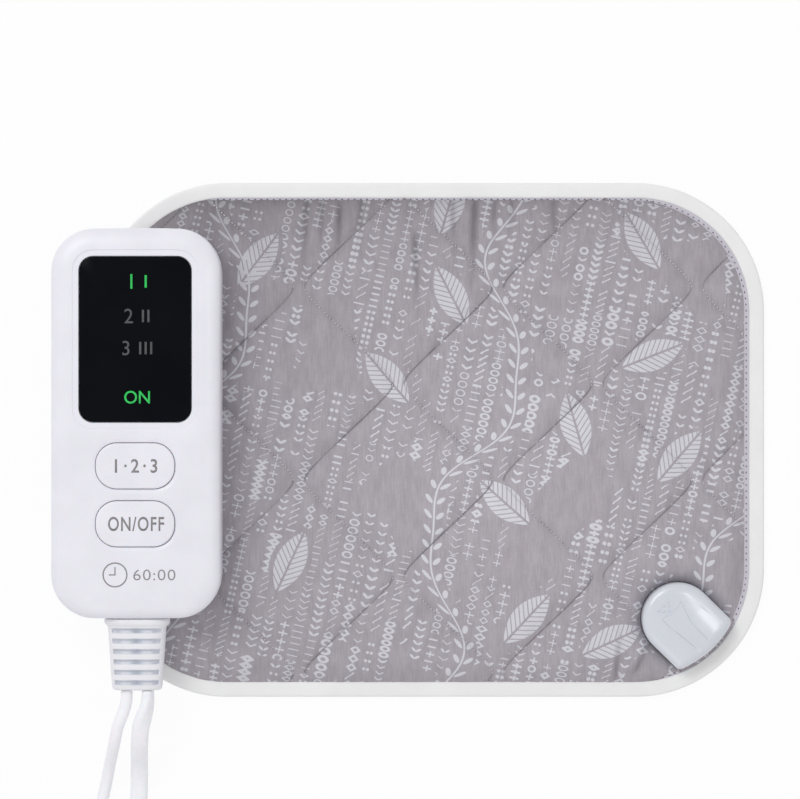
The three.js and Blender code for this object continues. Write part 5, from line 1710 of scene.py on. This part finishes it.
class HEATING_PAD_OT_rim(bpy.types.Operator):
    """Make the tape round the pad's edge, its seam and the cloth under the pad"""

    bl_idname = "heating_pad.rim"
    bl_label = "Binding and back"

    # The tape's section: inset from the pad's edge and height, in millimetres
    section = [
        (6.5, 3.3), (6.42, 3.75), (6.1, 3.96), (5.2, 4.0), (2.2, 4.0), (1.0, 3.96), (0.4, 3.75),
        (0.08, 3.3), (0.0, 2.4), (0.0, 1.3), (0.3, 0.5), (1.0, 0.12), (2.2, 0.0), (5.6, 0.0),
        (6.3, 0.1), (6.5, 0.4), (6.2, 0.8), (5.1, 0.9), (5.1, 2.7), (6.1, 2.95),
    ]

    # The back cloth's section, in the same way, and the places where it is filled across
    back_section = [
        (5.2, 1.0), (6.6, 0.95), (7.2, 0.3), (9, 0.0), (40, 0.0),
        (40, 0.7), (9, 0.7), (7.0, 1.7), (5.2, 1.7),
    ]
    filled = (4, 5)

    # The lip's section: share of its width, and height in millimetres
    lip_section = [(-0.1, 2.9), (-0.1, 3.3), (0.3, 3.45), (0.8, 3.5), (1.0, 3.3), (1.05, 2.9)]
    # The lip's least width, where it counts as showing, and where its stitches lie on the section
    lip_least, lip_seen, lip_seam = 0.2 * MM, 0.25, (0.6, 3.52)

    def execute(self, context):
        pad = context.scene.pad_settings
        spacing = 1.5
        track, outwards = pad_track(pad, spacing * MM)
        edge = PAD_CENTRE + track
        runs = np.arange(len(track)) * spacing
        ease = 0.06 * np.sin(runs / 9.1) * np.sin(runs / 3.7 + 1) + 0.05 * np.sin(runs / 2.1)
        form = Form()
        rings = []
        for inset, level in self.section:
            soft = ease * (level > 3.2) * (inset < 6.2) - 0.06
            rings.append(at_level(
                edge - outwards * inset * MM, np.maximum((level + soft) * MM, 0)))
        form.hoop(rings)
        tape = form.build("bound_edge", woven_tape("pale_tape", tuple(pad.tape_colour)), 60)
        seat(tape, "tape", "edge_binding")
        self.lip(pad, edge, outwards)
        form = Form()
        rings = [
            at_level(edge - outwards * inset * MM, level * MM)
            for inset, level in self.back_section]
        form.hoop(rings)
        for place in self.filled:
            form.fill(form.ring(rings[place]))
        back = form.build("back_cloth", plain_cotton("back_cotton", srgb(180, 177, 182)), 60)
        seat(back, "back_cloth", "back_cover")
        return {"FINISHED"}

    def lip(self, pad, edge, outwards):
        """The tape's turned edge that shows inside the seam on two sides, and its stitches."""
        shown = lip_share(outwards)
        wide = self.lip_least + pad.lip_width * shown

        def line(share, level):
            inset = pad.binding_width + wide * share
            return at_level(edge - outwards * inset[:, None], level * MM)

        form = Form()
        form.hoop([line(share, level) for share, level in self.lip_section])
        seat(form.build("seam_lip", plain_cotton("seam_lip", srgb(206, 202, 212)), 60), "tape")
        seen = shown > self.lip_seen
        first = int(np.argmax(seen & ~np.roll(seen, 1)))
        sewn, seen = np.roll(line(*self.lip_seam), -first, axis=0), np.roll(seen, -first)
        thread = spun_thread("binding_thread", srgb(96, 90, 102))
        seat(stitched(
            "binding_stitches", [sewn[seen]], 2.65 * MM, 0.9 * MM, 0.5 * MM, thread), "tape")


def plate(name, outline, low, high, finish):
    """A flat solid with the given outline."""
    form = Form()
    bottom, top = form.stack([at_level(outline, level) for level in (low, high)])
    form.fill(bottom)
    form.fill(top)
    return form.build(name, finish)


class HEATING_PAD_OT_core(bpy.types.Operator):
    """Make the felt that carries the wire, and give the wire and cut-outs their finishes"""

    bl_idname = "heating_pad.core"
    bl_label = "Felt and wire"

    def execute(self, context):
        low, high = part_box("carrier_felt")
        inset = low.x - PAD_MIDDLE.x + PAD_SIZE.x / 2
        track, outwards = pad_track(context.scene.pad_settings, 3 * MM)
        socket = context.scene.socket_settings
        hole = flat_places(socket_place(socket), socket_outline(socket, -0.3 * MM, 2))
        fibres = felted_cloth("needled_felt", srgb(230, 226, 218))
        felt = plate("felt_sheet", PAD_CENTRE + track - outwards * inset, low.z, high.z, fibres)
        cut_out(felt, plate("socket_cutter", hole, low.z - 1 * MM, high.z + 1 * MM, fibres))
        seat(felt, "felt", "carrier_felt")
        dress(cord_jacket("wire_silicone", srgb(233, 231, 226)), "heating_wire")
        dress(plated_steel(), *numbered("thermostat", 2))
        return {"FINISHED"}


# Socket


class HEATING_PAD_OT_socket(bpy.types.Operator):
    """Make the socket's upper moulding, with its tongue, its facets and its grip dots"""

    bl_idname = "heating_pad.socket"
    bl_label = "Socket"

    # Edges of the raised tongue, seen from above, in millimetres from the round end's middle
    upper_edge = [(-11.7, 7.65), (-5.1, 6.06), (3.6, 2.94), (9.46, 2.42), (22, 2.2)]
    lower_edge = [(-5.2, -4.74), (-1.47, -5.26), (4.26, -4.44), (10.28, -3.9), (22, -3.0)]
    inner_end = [(-5.2, -4.74), (-4.3, -1.6), (-4.1, 1.7), (-4.34, 4.4), (-5.09, 6.06)]
    edge_half = 0.16
    # Room between the tongue's edges and the shoulder
    edge_room = 0.3 * MM
    dots = [(-8.9, 2.34), (-8.9, -0.45), (-8.9, -3.37), (-7.3, 1.0), (-7.3, -2.18), (-5.74, -0.52)]
    # A dot's radii and the levels that they have above its foot, which lies below the tongue's top
    dot_section = [(0.62, -0.3), (0.62, 0.02), (0.5, 0.2), (0.28, 0.3)]
    dot_foot = 0.5

    def execute(self, context):
        socket = context.scene.socket_settings
        shell = socket_plastic(socket)
        place = socket_place(socket)
        low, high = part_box("socket_top_shell")
        top = high.z - place.translation.z
        body = self.body(socket, low.z - place.translation.z, top, shell)
        body.data.transform(place)
        self.open_mouth(body, place)
        seat(body, "socket_plastic", "socket_top_shell")
        dress(shell, "socket_base_shell")
        dress(black_plastic(), "contact_block")
        dress(plated_brass(), *numbered("contact_pin", 3))
        dress(plated_steel(), *numbered("socket_screw", 2))
        grips = Form()
        for dot in self.dots:
            grips.closed_stack([
                at_level(
                    circle(radius * MM, 20) + np.multiply(dot, MM),
                    top + (rise - self.dot_foot) * MM)
                for radius, rise in self.dot_section])
        knobs = grips.build("socket_grip_dots", shell)
        knobs.data.transform(place)
        seat(knobs, "socket_plastic")
        return {"FINISHED"}

    def face_level(self, points):
        """How far below the tongue's top the face lies, in millimetres, before the shoulder."""
        x, y = points[:, 0] / MM, points[:, 1] / MM
        tongue_height, lower_start, lower_ease = 0.6, -5.2, 6
        upper = np.interp(x, *np.transpose(self.upper_edge))
        lower = np.interp(x, *np.transpose(self.lower_edge))
        inner = np.interp(y, *np.transpose([(b, a) for a, b in self.inner_end]))
        above = np.maximum(y - upper, 0)
        below = np.maximum(lower - y, 0) * np.clip((x - lower_start) / lower_ease, 0, 1)
        within = np.minimum(np.minimum(upper - y, y - lower), x - inner)
        tongue = tongue_height * (1 - np.clip(within / (2 * self.edge_half) + 0.5, 0, 1))
        return tongue + 0.07 * above + 0.008 * above ** 2 + math.tan(math.radians(3)) * below

    def edge_lines(self, outline):
        """Both sides of the tongue's edges, as far as they lie on the face."""
        lines = []
        for edge, aside in (
                (self.upper_edge, (0, 1)), (self.lower_edge, (0, 1)), (self.inner_end, (1, 0))):
            edge = np.array(edge)
            line = at_runs(edge, np.arange(0, runs_along(edge)[-1], 0.5))
            for side in (-1, 1):
                moved = (line + side * self.edge_half * np.array(aside)) * MM
                lines.append(moved[outside(outline, moved) < -self.edge_room])
        return lines

    def body(self, socket, foot, top, finish):
        """The moulding before its mouth is cut: its face, its shoulder and its upright side."""
        insets = socket.shoulder * (1 - np.cos(np.linspace(0, math.pi / 2, 9)))
        outer = socket_outline(socket, 0, 0.8)
        loops = [outer] + [self.shrunk(outer, inset) for inset in insets[1:]]
        step, line_room = 0.55 * MM, 0.25 * MM
        reach = np.arange(-socket.radius, socket.end_radius - socket.end_reach, step)
        across = np.arange(-socket.radius, socket.radius, step)
        grid = np.array([(x, y) for x in reach for y in across])
        grid = grid[outside(loops[-1], grid) < -step * 0.6]
        lines = self.edge_lines(loops[-1])
        near = np.min([
            np.linalg.norm(grid[:, None] - line[None], axis=2).min(1) for line in lines], axis=0)
        spots, faces, (edge, *_) = triangulated(loops, lines, grid[near > line_room])
        deep = np.maximum(-outside(outer, spots), 0)
        share = np.clip(1 - deep / socket.shoulder, 0, 1)
        drop = socket.shoulder_drop * (1 - np.sqrt(1 - share ** 2))
        form = Form()
        form.ring(at_level(spots, top - drop - self.face_level(spots) * MM))
        form.faces.extend(faces)
        base = form.ring(at_level(outer, foot))
        form.band(base, edge)
        form.fill(base)
        return form.build("socket_top_moulding", finish, 40)

    def shrunk(self, outline, inset):
        """The outline moved inwards by the same distance all round."""
        side = np.roll(outline, -1, axis=0) - np.roll(outline, 1, axis=0)
        inwards = np.column_stack([-side[:, 1], side[:, 0]])
        return outline + inset * inwards / np.linalg.norm(inwards, axis=1)[:, None]

    def open_mouth(self, body, place):
        """Cuts the mouth that takes the pad plug's tongue."""
        room, start, stop = 0.6 * MM, -4 * MM, 45 * MM
        middle = place.inverted() @ middle_of("contact_block")[0]
        tongue = middle_of("pad_plug_tongue")[1]
        track, _ = rounded_track(tongue.x + room, tongue.z + room, 1.2 * MM, 0.6 * MM)
        form = Form()
        form.closed_stack([
            np.insert(track + [0, middle.z], 0, middle.x + reach, axis=1)
            for reach in (start, stop)])
        cutter = form.build("mouth_cutter", body.data.materials[0])
        cutter.data.transform(place)
        cut_out(body, cutter)


def cut_out(body, cutter):
    """Takes one solid out of another and removes the cutter."""
    cutting = body.modifiers.new("opening", "BOOLEAN")
    cutting.object = cutter
    cutting.solver = "EXACT"
    bpy.context.view_layer.update()
    shaped = bpy.data.meshes.new_from_object(evaluated(body))
    body.modifiers.clear()
    body.data = shaped
    shaped.set_sharp_from_angle(angle=math.radians(40))
    bpy.data.objects.remove(cutter)


# Hand controller


def case_ring(case, inset, level):
    """The case's outline moved inwards, with its ends bowed outwards."""
    track, outwards = rounded_track(
        CASE_SIZE.x, CASE_SIZE.y - 2 * case.end_bow, case.corner_radius, 2 * MM)
    flat = track - outwards * inset
    half_x, half_y, straight = CASE_SIZE.x / 2, CASE_SIZE.y / 2, 0.6
    bow = case.end_bow * (1 - np.clip(flat[:, 0] / half_x, -1, 1) ** 2)
    ends = np.clip((np.abs(flat[:, 1]) / half_y - straight) / (1 - straight), 0, 1)
    flat[:, 1] += np.sign(flat[:, 1]) * bow * ends
    return at_level(flat + [CASE_MIDDLE.x, CASE_MIDDLE.y], level)


def opening_ring(middle, wide, tall, radius, grow, level):
    """A rounded rectangle around a part, grown by some distance."""
    track, outwards = rounded_track(wide, tall, radius, 0.9 * MM)
    return at_level(track + outwards * grow + [middle.x, middle.y], level)


def key_rings(case, node, profile):
    """Rings round a key's cap, each grown by some distance and at some level."""
    middle, extent, _ = middle_of(node)
    wide, tall = (side - 2 * case.key_flange for side in extent[:2])
    return [
        opening_ring(middle, wide, tall, case.key_radius, grow, level) for grow, level in profile]


def window_rings(case, profile):
    """Rings round the display's window, each grown by some distance and at some level."""
    return [
        opening_ring(WINDOW_MIDDLE, WINDOW_SIZE.x, WINDOW_SIZE.y, case.window_radius, grow, level)
        for grow, level in profile]


class HEATING_PAD_OT_case(bpy.types.Operator):
    """Make the case's upper half with its openings, and dress the lower half"""

    bl_idname = "heating_pad.case"
    bl_label = "Case"

    def execute(self, context):
        case = context.scene.case_settings
        shell = moulded_plastic("pale_plastic", tuple(case.case_colour), 0.34, 0.15)
        self.front(case, shell)
        dress(shell, "rear_shell")
        dress(plated_steel(), *numbered("case_screw", 4))
        return {"FINISHED"}

    def front(self, case, finish):
        """The upper half: its wall inside and outside, its wide soft edge and its openings."""
        rim, top, wall, edge_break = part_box("front_shell")[0].z, CASE_TOP, case.wall, 0.25 * MM
        inner_top = top - wall
        reach, drop = case.edge_width, case.edge_drop
        inner = rounding(wall, inner_top, reach - wall, drop - wall, 14)[::-2]
        outer = rounding(0, top, reach, drop, 14)
        profile = [*inner, (wall, rim), (edge_break, rim), (0, rim + edge_break), *outer]
        form = Form()
        made = form.stack([case_ring(case, inset, level) for inset, level in profile])
        openings = [self.window_opening(case, top, inner_top)]
        openings += [
            self.key_opening(case, key, top, inner_top) for key in ("mode_button", "power_button")]
        holes = [form.stack(opening) for opening in openings]
        form.fill(made[-1], *(hole[0] for hole in holes))
        form.fill(made[0], *(hole[-1] for hole in holes))
        seat(form.build("case_front", finish, 40), "case_plastic", "front_shell")

    def window_opening(self, case, top, inner_top):
        """The shallow step around the display, its seat and the ledge below it."""
        low, high = (corner.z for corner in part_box("display_window"))
        step, fit, ledge, soft = case.bezel_width, case.fit, case.ledge, 0.15 * MM
        return window_rings(case, [
            (step + soft, top), (step, top - soft / 3), (step - 0.12 * MM, high),
            (fit + soft, high), (fit, high - soft), (fit, low - fit), (-ledge, low - fit),
            (-ledge, inner_top)])

    def key_opening(self, case, key, top, inner_top):
        """The hollow around a key and the hole that the key slides in."""
        fit = case.fit
        profile = [
            (fit + case.dish_width * (1 - share), top - case.dish_depth * share ** 1.6)
            for share in (0, *np.linspace(0.1, 1, 7))]
        return key_rings(case, key, [*profile, (fit, inner_top)])


class HEATING_PAD_OT_keys(bpy.types.Operator):
    """Make the two keys that travel, with their printed signs"""

    bl_idname = "heating_pad.keys"
    bl_label = "Keys"

    # A key, and its sign with height in millimetres, stretch and spacing
    signs = [
        ("mode_button", "1·2·3", 5.8, 0.9, 1.35),
        ("power_button", "ON/OFF", 6.0, 0.72, 1.14),
    ]
    # How far the signs stand right of the middle, how far they are sunk in, and how bold they are
    aside, sunk, weight = 0.5 * MM, 0.005 * MM, 0.013

    def execute(self, context):
        case = context.scene.case_settings
        shell = moulded_plastic("pale_key", tinted(case.case_colour, 1.01), 0.3, 0.2)
        ink = printed_ink("grey_ink", tuple(case.legend_colour))
        for key, words, height, stretch, spacing in self.signs:
            low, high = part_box(key)
            middle = (low + high) / 2
            cap = self.cap(case, key, low, high, shell)
            seat(cap, "key_plastic", key, body=key)
            sign = lettering(
                key + "_sign", words, height * MM, (middle.x + self.aside, middle.y),
                high.z - self.sunk, ink, stretch, self.weight, spacing)
            seat(sign, "key_plastic", body=key)
        dress(black_plastic(), *numbered("switch_plunger", 2), *numbered("switch_body", 2))
        return {"FINISHED"}

    def cap(self, case, key, low, high, finish):
        """A key: its stem, the flange that keeps it in, and its rounded cap."""
        flange, edge, thick = case.key_flange, case.key_edge, 1 * MM
        flange_top = CASE_TOP - case.wall - case.fit
        form = Form()
        form.closed_stack(key_rings(case, key, [
            (flange, flange_top - thick), (flange, flange_top), (0, flange_top),
            *rounding(0, high.z, -edge, edge, 8)]))
        middle = (low + high) / 2
        stem = circle(3 * MM, 32) + [middle.x, middle.y]
        form.closed_stack([at_level(stem, level) for level in (low.z, flange_top - thick / 2)])
        return form.build(key + "_cap", finish, 40)


class HEATING_PAD_OT_display(bpy.types.Operator):
    """Make the dark window and the signs that show through it"""

    bl_idname = "heating_pad.display"
    bl_label = "Display"

    # Places and sizes of the signs on the window, and of the clock below the keys, in millimetres
    rows = [(1, 0.35), (2, 0.141), (3, -0.053)]
    row_start, row_shift, figure_aside = 3.05, -1.15, -4.6
    first_bar, bar_pitch, bar_half = 1.4, 2.3, np.array([0.45, 2.6])
    clock_middle, clock_section = (-8.4, -63.5), [(5.25, 0), (5.25, 0.04), (4.7, 0.04), (4.7, 0)]
    clock_hands = [
        [(-0.25, -0.25), (0.25, -0.25), (0.25, 3.3), (-0.25, 3.3)],
        [(-2.6, -0.25), (-0.25, -0.25), (-0.25, 0.25), (-2.6, 0.25)],
    ]

    def execute(self, context):
        case = context.scene.case_settings
        glass = dark_glass("smoked_window", tuple(case.window_colour))
        low, high = (corner.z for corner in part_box("display_window"))
        form = Form()
        form.closed_stack(window_rings(case, [
            (0, low), (0, high - 0.3 * MM), (-0.1 * MM, high - 0.1 * MM), (-0.35 * MM, high)]))
        seat(form.build("display_glass", glass), "window", "display_window")
        lit = lit_sign("lit_green", tuple(case.lit_colour), 0.6)
        self.window_signs(lit, lit_sign("unlit_grey", tuple(case.unlit_colour), 0.12))
        self.clock_signs(case)
        dress(black_plastic(), "light_mask")
        dress(lit, *numbered("led", 4))
        return {"FINISHED"}

    def window_signs(self, lit, unlit):
        """Three steps of heat, each with as many bars as its figure, and the sign for power."""
        centre = WINDOW_MIDDLE
        level = WINDOW_TOP + 0.005 * MM
        for step, share in self.rows:
            y = centre.y + share * WINDOW_SIZE.y
            start = centre.x + (self.row_start + (step - 1) * self.row_shift) * MM
            glow = lit if step == 1 else unlit
            bars = Form()
            for bar in range(step):
                x = start + (self.first_bar + bar * self.bar_pitch) * MM
                ring = np.array(SQUARE) * self.bar_half * MM + [x, y]
                bars.closed_stack([at_level(ring, level + rise) for rise in (0, SIGN_DEPTH)])
            seat(bars.build(f"heat_bars_{step}", glow), "led")
            place = (start + self.figure_aside * MM, y)
            figure = lettering(
                f"heat_figure_{step}", str(step), 6.1 * MM, place, level, glow, 0.95)
            seat(figure, "led")
        place = (centre.x + 0.85 * MM, centre.y - 0.35 * WINDOW_SIZE.y)
        sign = lettering("power_light_sign", "ON", 5.4 * MM, place, level, lit, 0.95, 0.006)
        seat(sign, "led")

    def clock_signs(self, case):
        """A clock and the minutes, printed on the case below the keys."""
        x, y = (middle + shift * MM for middle, shift in zip(CASE_MIDDLE, self.clock_middle))
        form = Form()
        form.hoop([
            at_level(circle(reach * MM, 64) + [x, y], CASE_TOP + rise * MM)
            for reach, rise in self.clock_section])
        for hand in self.clock_hands:
            flat = np.array(hand) * MM + [x, y]
            form.closed_stack([at_level(flat, CASE_TOP + rise) for rise in (0, SIGN_DEPTH)])
        ink = printed_ink("grey_ink", tuple(case.legend_colour))
        seat(form.build("clock_sign", ink), "case_plastic")
        pale = printed_ink("light_grey_ink", tinted(case.legend_colour, 1.12))
        minutes = lettering(
            "minutes_sign", "60:00", 4.5 * MM, (CASE_MIDDLE.x + 8.1 * MM, y), CASE_TOP, pale,
            1.15, -0.008, 1.1)
        seat(minutes, "case_plastic")


class HEATING_PAD_OT_board(bpy.types.Operator):
    """Give the circuit board and what it carries their finishes"""

    bl_idname = "heating_pad.board"
    bl_label = "Circuit board"

    def execute(self, context):
        dress(circuit_laminate("green_laminate", srgb(31, 107, 69)), "circuit_board")
        dress(black_plastic(), "mcu_chip", "power_triac")
        dress(wound_film("lacquered_film", srgb(181, 85, 42)), "film_capacitor")
        dress(wound_film("glass_fuse", srgb(200, 205, 205)), "fuse")
        dress(cord_jacket("lead_jacket", srgb(233, 233, 238)), *numbered("inner_lead", 4))
        return {"FINISHED"}


class HEATING_PAD_OT_boot(bpy.types.Operator):
    """Make the boot that both cords leave through, with slots that let it bend"""

    bl_idname = "heating_pad.boot"
    bl_label = "Boot"

    # The plug inside the case, the neck in its wall and the collar's edge: reach from the case and
    # radius, in millimetres
    plug = [(-3.4, 8.9), (-2.6, 8.9), (-2.6, 6.6), (0.3, 6.6), (0.3, 9.1), (0.7, 9.4)]
    collar_start, collar_end, collar_radius, collar_fall = 1.4, 3.5, 9.4, 1.35
    start_radius, tip_radius, tip_round = 7.9, 6.1, 1.6
    # Number, half width and depth of the slots, width of their sloping sides, and how far from a
    # slot's middle the slotted stretch ends
    slots, slot_half, slot_depth, slot_side, slot_room = 6, 1.2, 1.6, 0.5, 1.3
    # The section is this much as tall as wide
    flatness = 0.8

    def execute(self, context):
        cords = context.scene.cord_settings
        low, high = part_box("strain_relief")
        face_y = CASE_MIDDLE.y - CASE_SIZE.y / 2
        jacket = slot_shaded_rubber("boot_white", tinted(cords.jacket_colour, 0.9), face_y / MM)
        level = (low.z + high.z) / 2
        form = Form()
        form.closed_stack([
            self.ring(reach, radius, depth, face_y, level)
            for reach, radius, depth in self.profile((face_y - low.y) / MM)])
        seat(form.build("boot_moulding", jacket, 32), "boot_rubber", "strain_relief")
        return {"FINISHED"}

    def profile(self, length):
        """Reach from the case, radius and slot depth along the boot, in millimetres."""
        made = [(reach, radius, 0) for reach, radius in self.plug]
        for share in np.linspace(0, 1, 6):
            reach = self.collar_start + (self.collar_end - self.collar_start) * share
            made.append((reach, self.collar_radius - self.collar_fall * share ** 2, 0))
        first = BOOT_FIRST_SLOT - self.slot_room
        last = BOOT_FIRST_SLOT + (self.slots - 1) * BOOT_SLOT_PITCH + self.slot_room
        half_pitch, step = BOOT_SLOT_PITCH / 2, 0.2
        for reach in np.arange(self.collar_end + step, length - self.tip_round, step):
            radius = np.interp(
                reach, [self.collar_end, length], [self.start_radius, self.tip_radius])
            at = (reach - BOOT_FIRST_SLOT + half_pitch) % BOOT_SLOT_PITCH - half_pitch
            inside = first < reach < last
            wall = np.clip((self.slot_half - abs(at)) / self.slot_side, 0, 1)
            made.append((reach, radius, self.slot_depth * inside * eased(wall)))
        tip = rounding(self.tip_radius, length, -self.tip_round, self.tip_round, 6)
        return made + [(reach, radius, 0) for radius, reach in tip]

    def ring(self, reach, radius, depth, face_y, level):
        """An oval section; a slot sinks to the two round cores inside it."""
        over_core, in_valley, core_share, fade_width, most = 0.72, 0.55, 0.78, 0.8, 0.8
        angles = np.arange(96) / 96 * TURN
        sides = np.where(np.cos(angles) >= 0, BOOT_CORES, -BOOT_CORES)
        flat = radius * np.column_stack([np.cos(angles), self.flatness * np.sin(angles)])
        flat[:, 0] += sides
        closed = np.vstack([flat, flat[:1]])
        flat = at_runs(closed, np.arange(128) / 128 * runs_along(closed)[-1])
        aside, height = np.abs(flat).T
        fade = np.clip((BOOT_CORES + radius * core_share - aside) / fade_width, 0, 1)
        valley = in_valley * np.clip(np.abs(aside - BOOT_CORES) / BOOT_CORES, 0, 1) ** 2
        sunk = depth * (over_core + valley) * fade
        flat[:, 1] -= np.sign(flat[:, 1]) * np.minimum(sunk, height * most)
        return np.insert(flat * MM + [CASE_MIDDLE.x, level], 1, face_y - reach * MM, axis=1)


class HEATING_PAD_PT_panel(bpy.types.Panel):
    """Lists what the object is made of"""

    bl_idname = "HEATING_PAD_PT_panel"
    bl_label = "Heating pad"
    bl_space_type = "VIEW_3D"
    bl_region_type = "UI"
    bl_category = "Heating pad"

    def draw(self, context):
        column = self.layout.column(align=True)
        for operator in OPERATORS:
            column.operator(operator.bl_idname)
        for name, group in SETTINGS.items():
            box = self.layout.box()
            box.label(text=group.__doc__.rstrip("."))
            for setting in group.__annotations__:
                box.prop(getattr(context.scene, name), setting)


SETTINGS = {
    "pad_settings": PadSettings,
    "case_settings": CaseSettings,
    "cord_settings": CordSettings,
    "socket_settings": SocketSettings,
    "stage_settings": StageSettings,
}
OPERATORS = [
    HEATING_PAD_OT_stage,
    HEATING_PAD_OT_mains_flex,
    HEATING_PAD_OT_pad_lead,
    HEATING_PAD_OT_cloth,
    HEATING_PAD_OT_rim,
    HEATING_PAD_OT_core,
    HEATING_PAD_OT_socket,
    HEATING_PAD_OT_case,
    HEATING_PAD_OT_keys,
    HEATING_PAD_OT_display,
    HEATING_PAD_OT_board,
    HEATING_PAD_OT_boot,
]


def register():
    for made in (*SETTINGS.values(), *OPERATORS, HEATING_PAD_PT_panel):
        bpy.utils.register_class(made)
    for name, group in SETTINGS.items():
        setattr(bpy.types.Scene, name, PointerProperty(type=group))


def unregister():
    for name in SETTINGS:
        delattr(bpy.types.Scene, name)
    for made in (HEATING_PAD_PT_panel, *reversed(OPERATORS), *SETTINGS.values()):
        bpy.utils.unregister_class(made)


def run(operator):
    """Runs one operator and stops the script if it didn't finish."""
    group, name = operator.bl_idname.split(".")
    if getattr(getattr(bpy.ops, group), name)() != {"FINISHED"}:
        raise RuntimeError(f"{operator.bl_label} was not made")


def main():
    register()
    for operator in OPERATORS:
        run(operator)


if __name__ == "__main__":
    main()
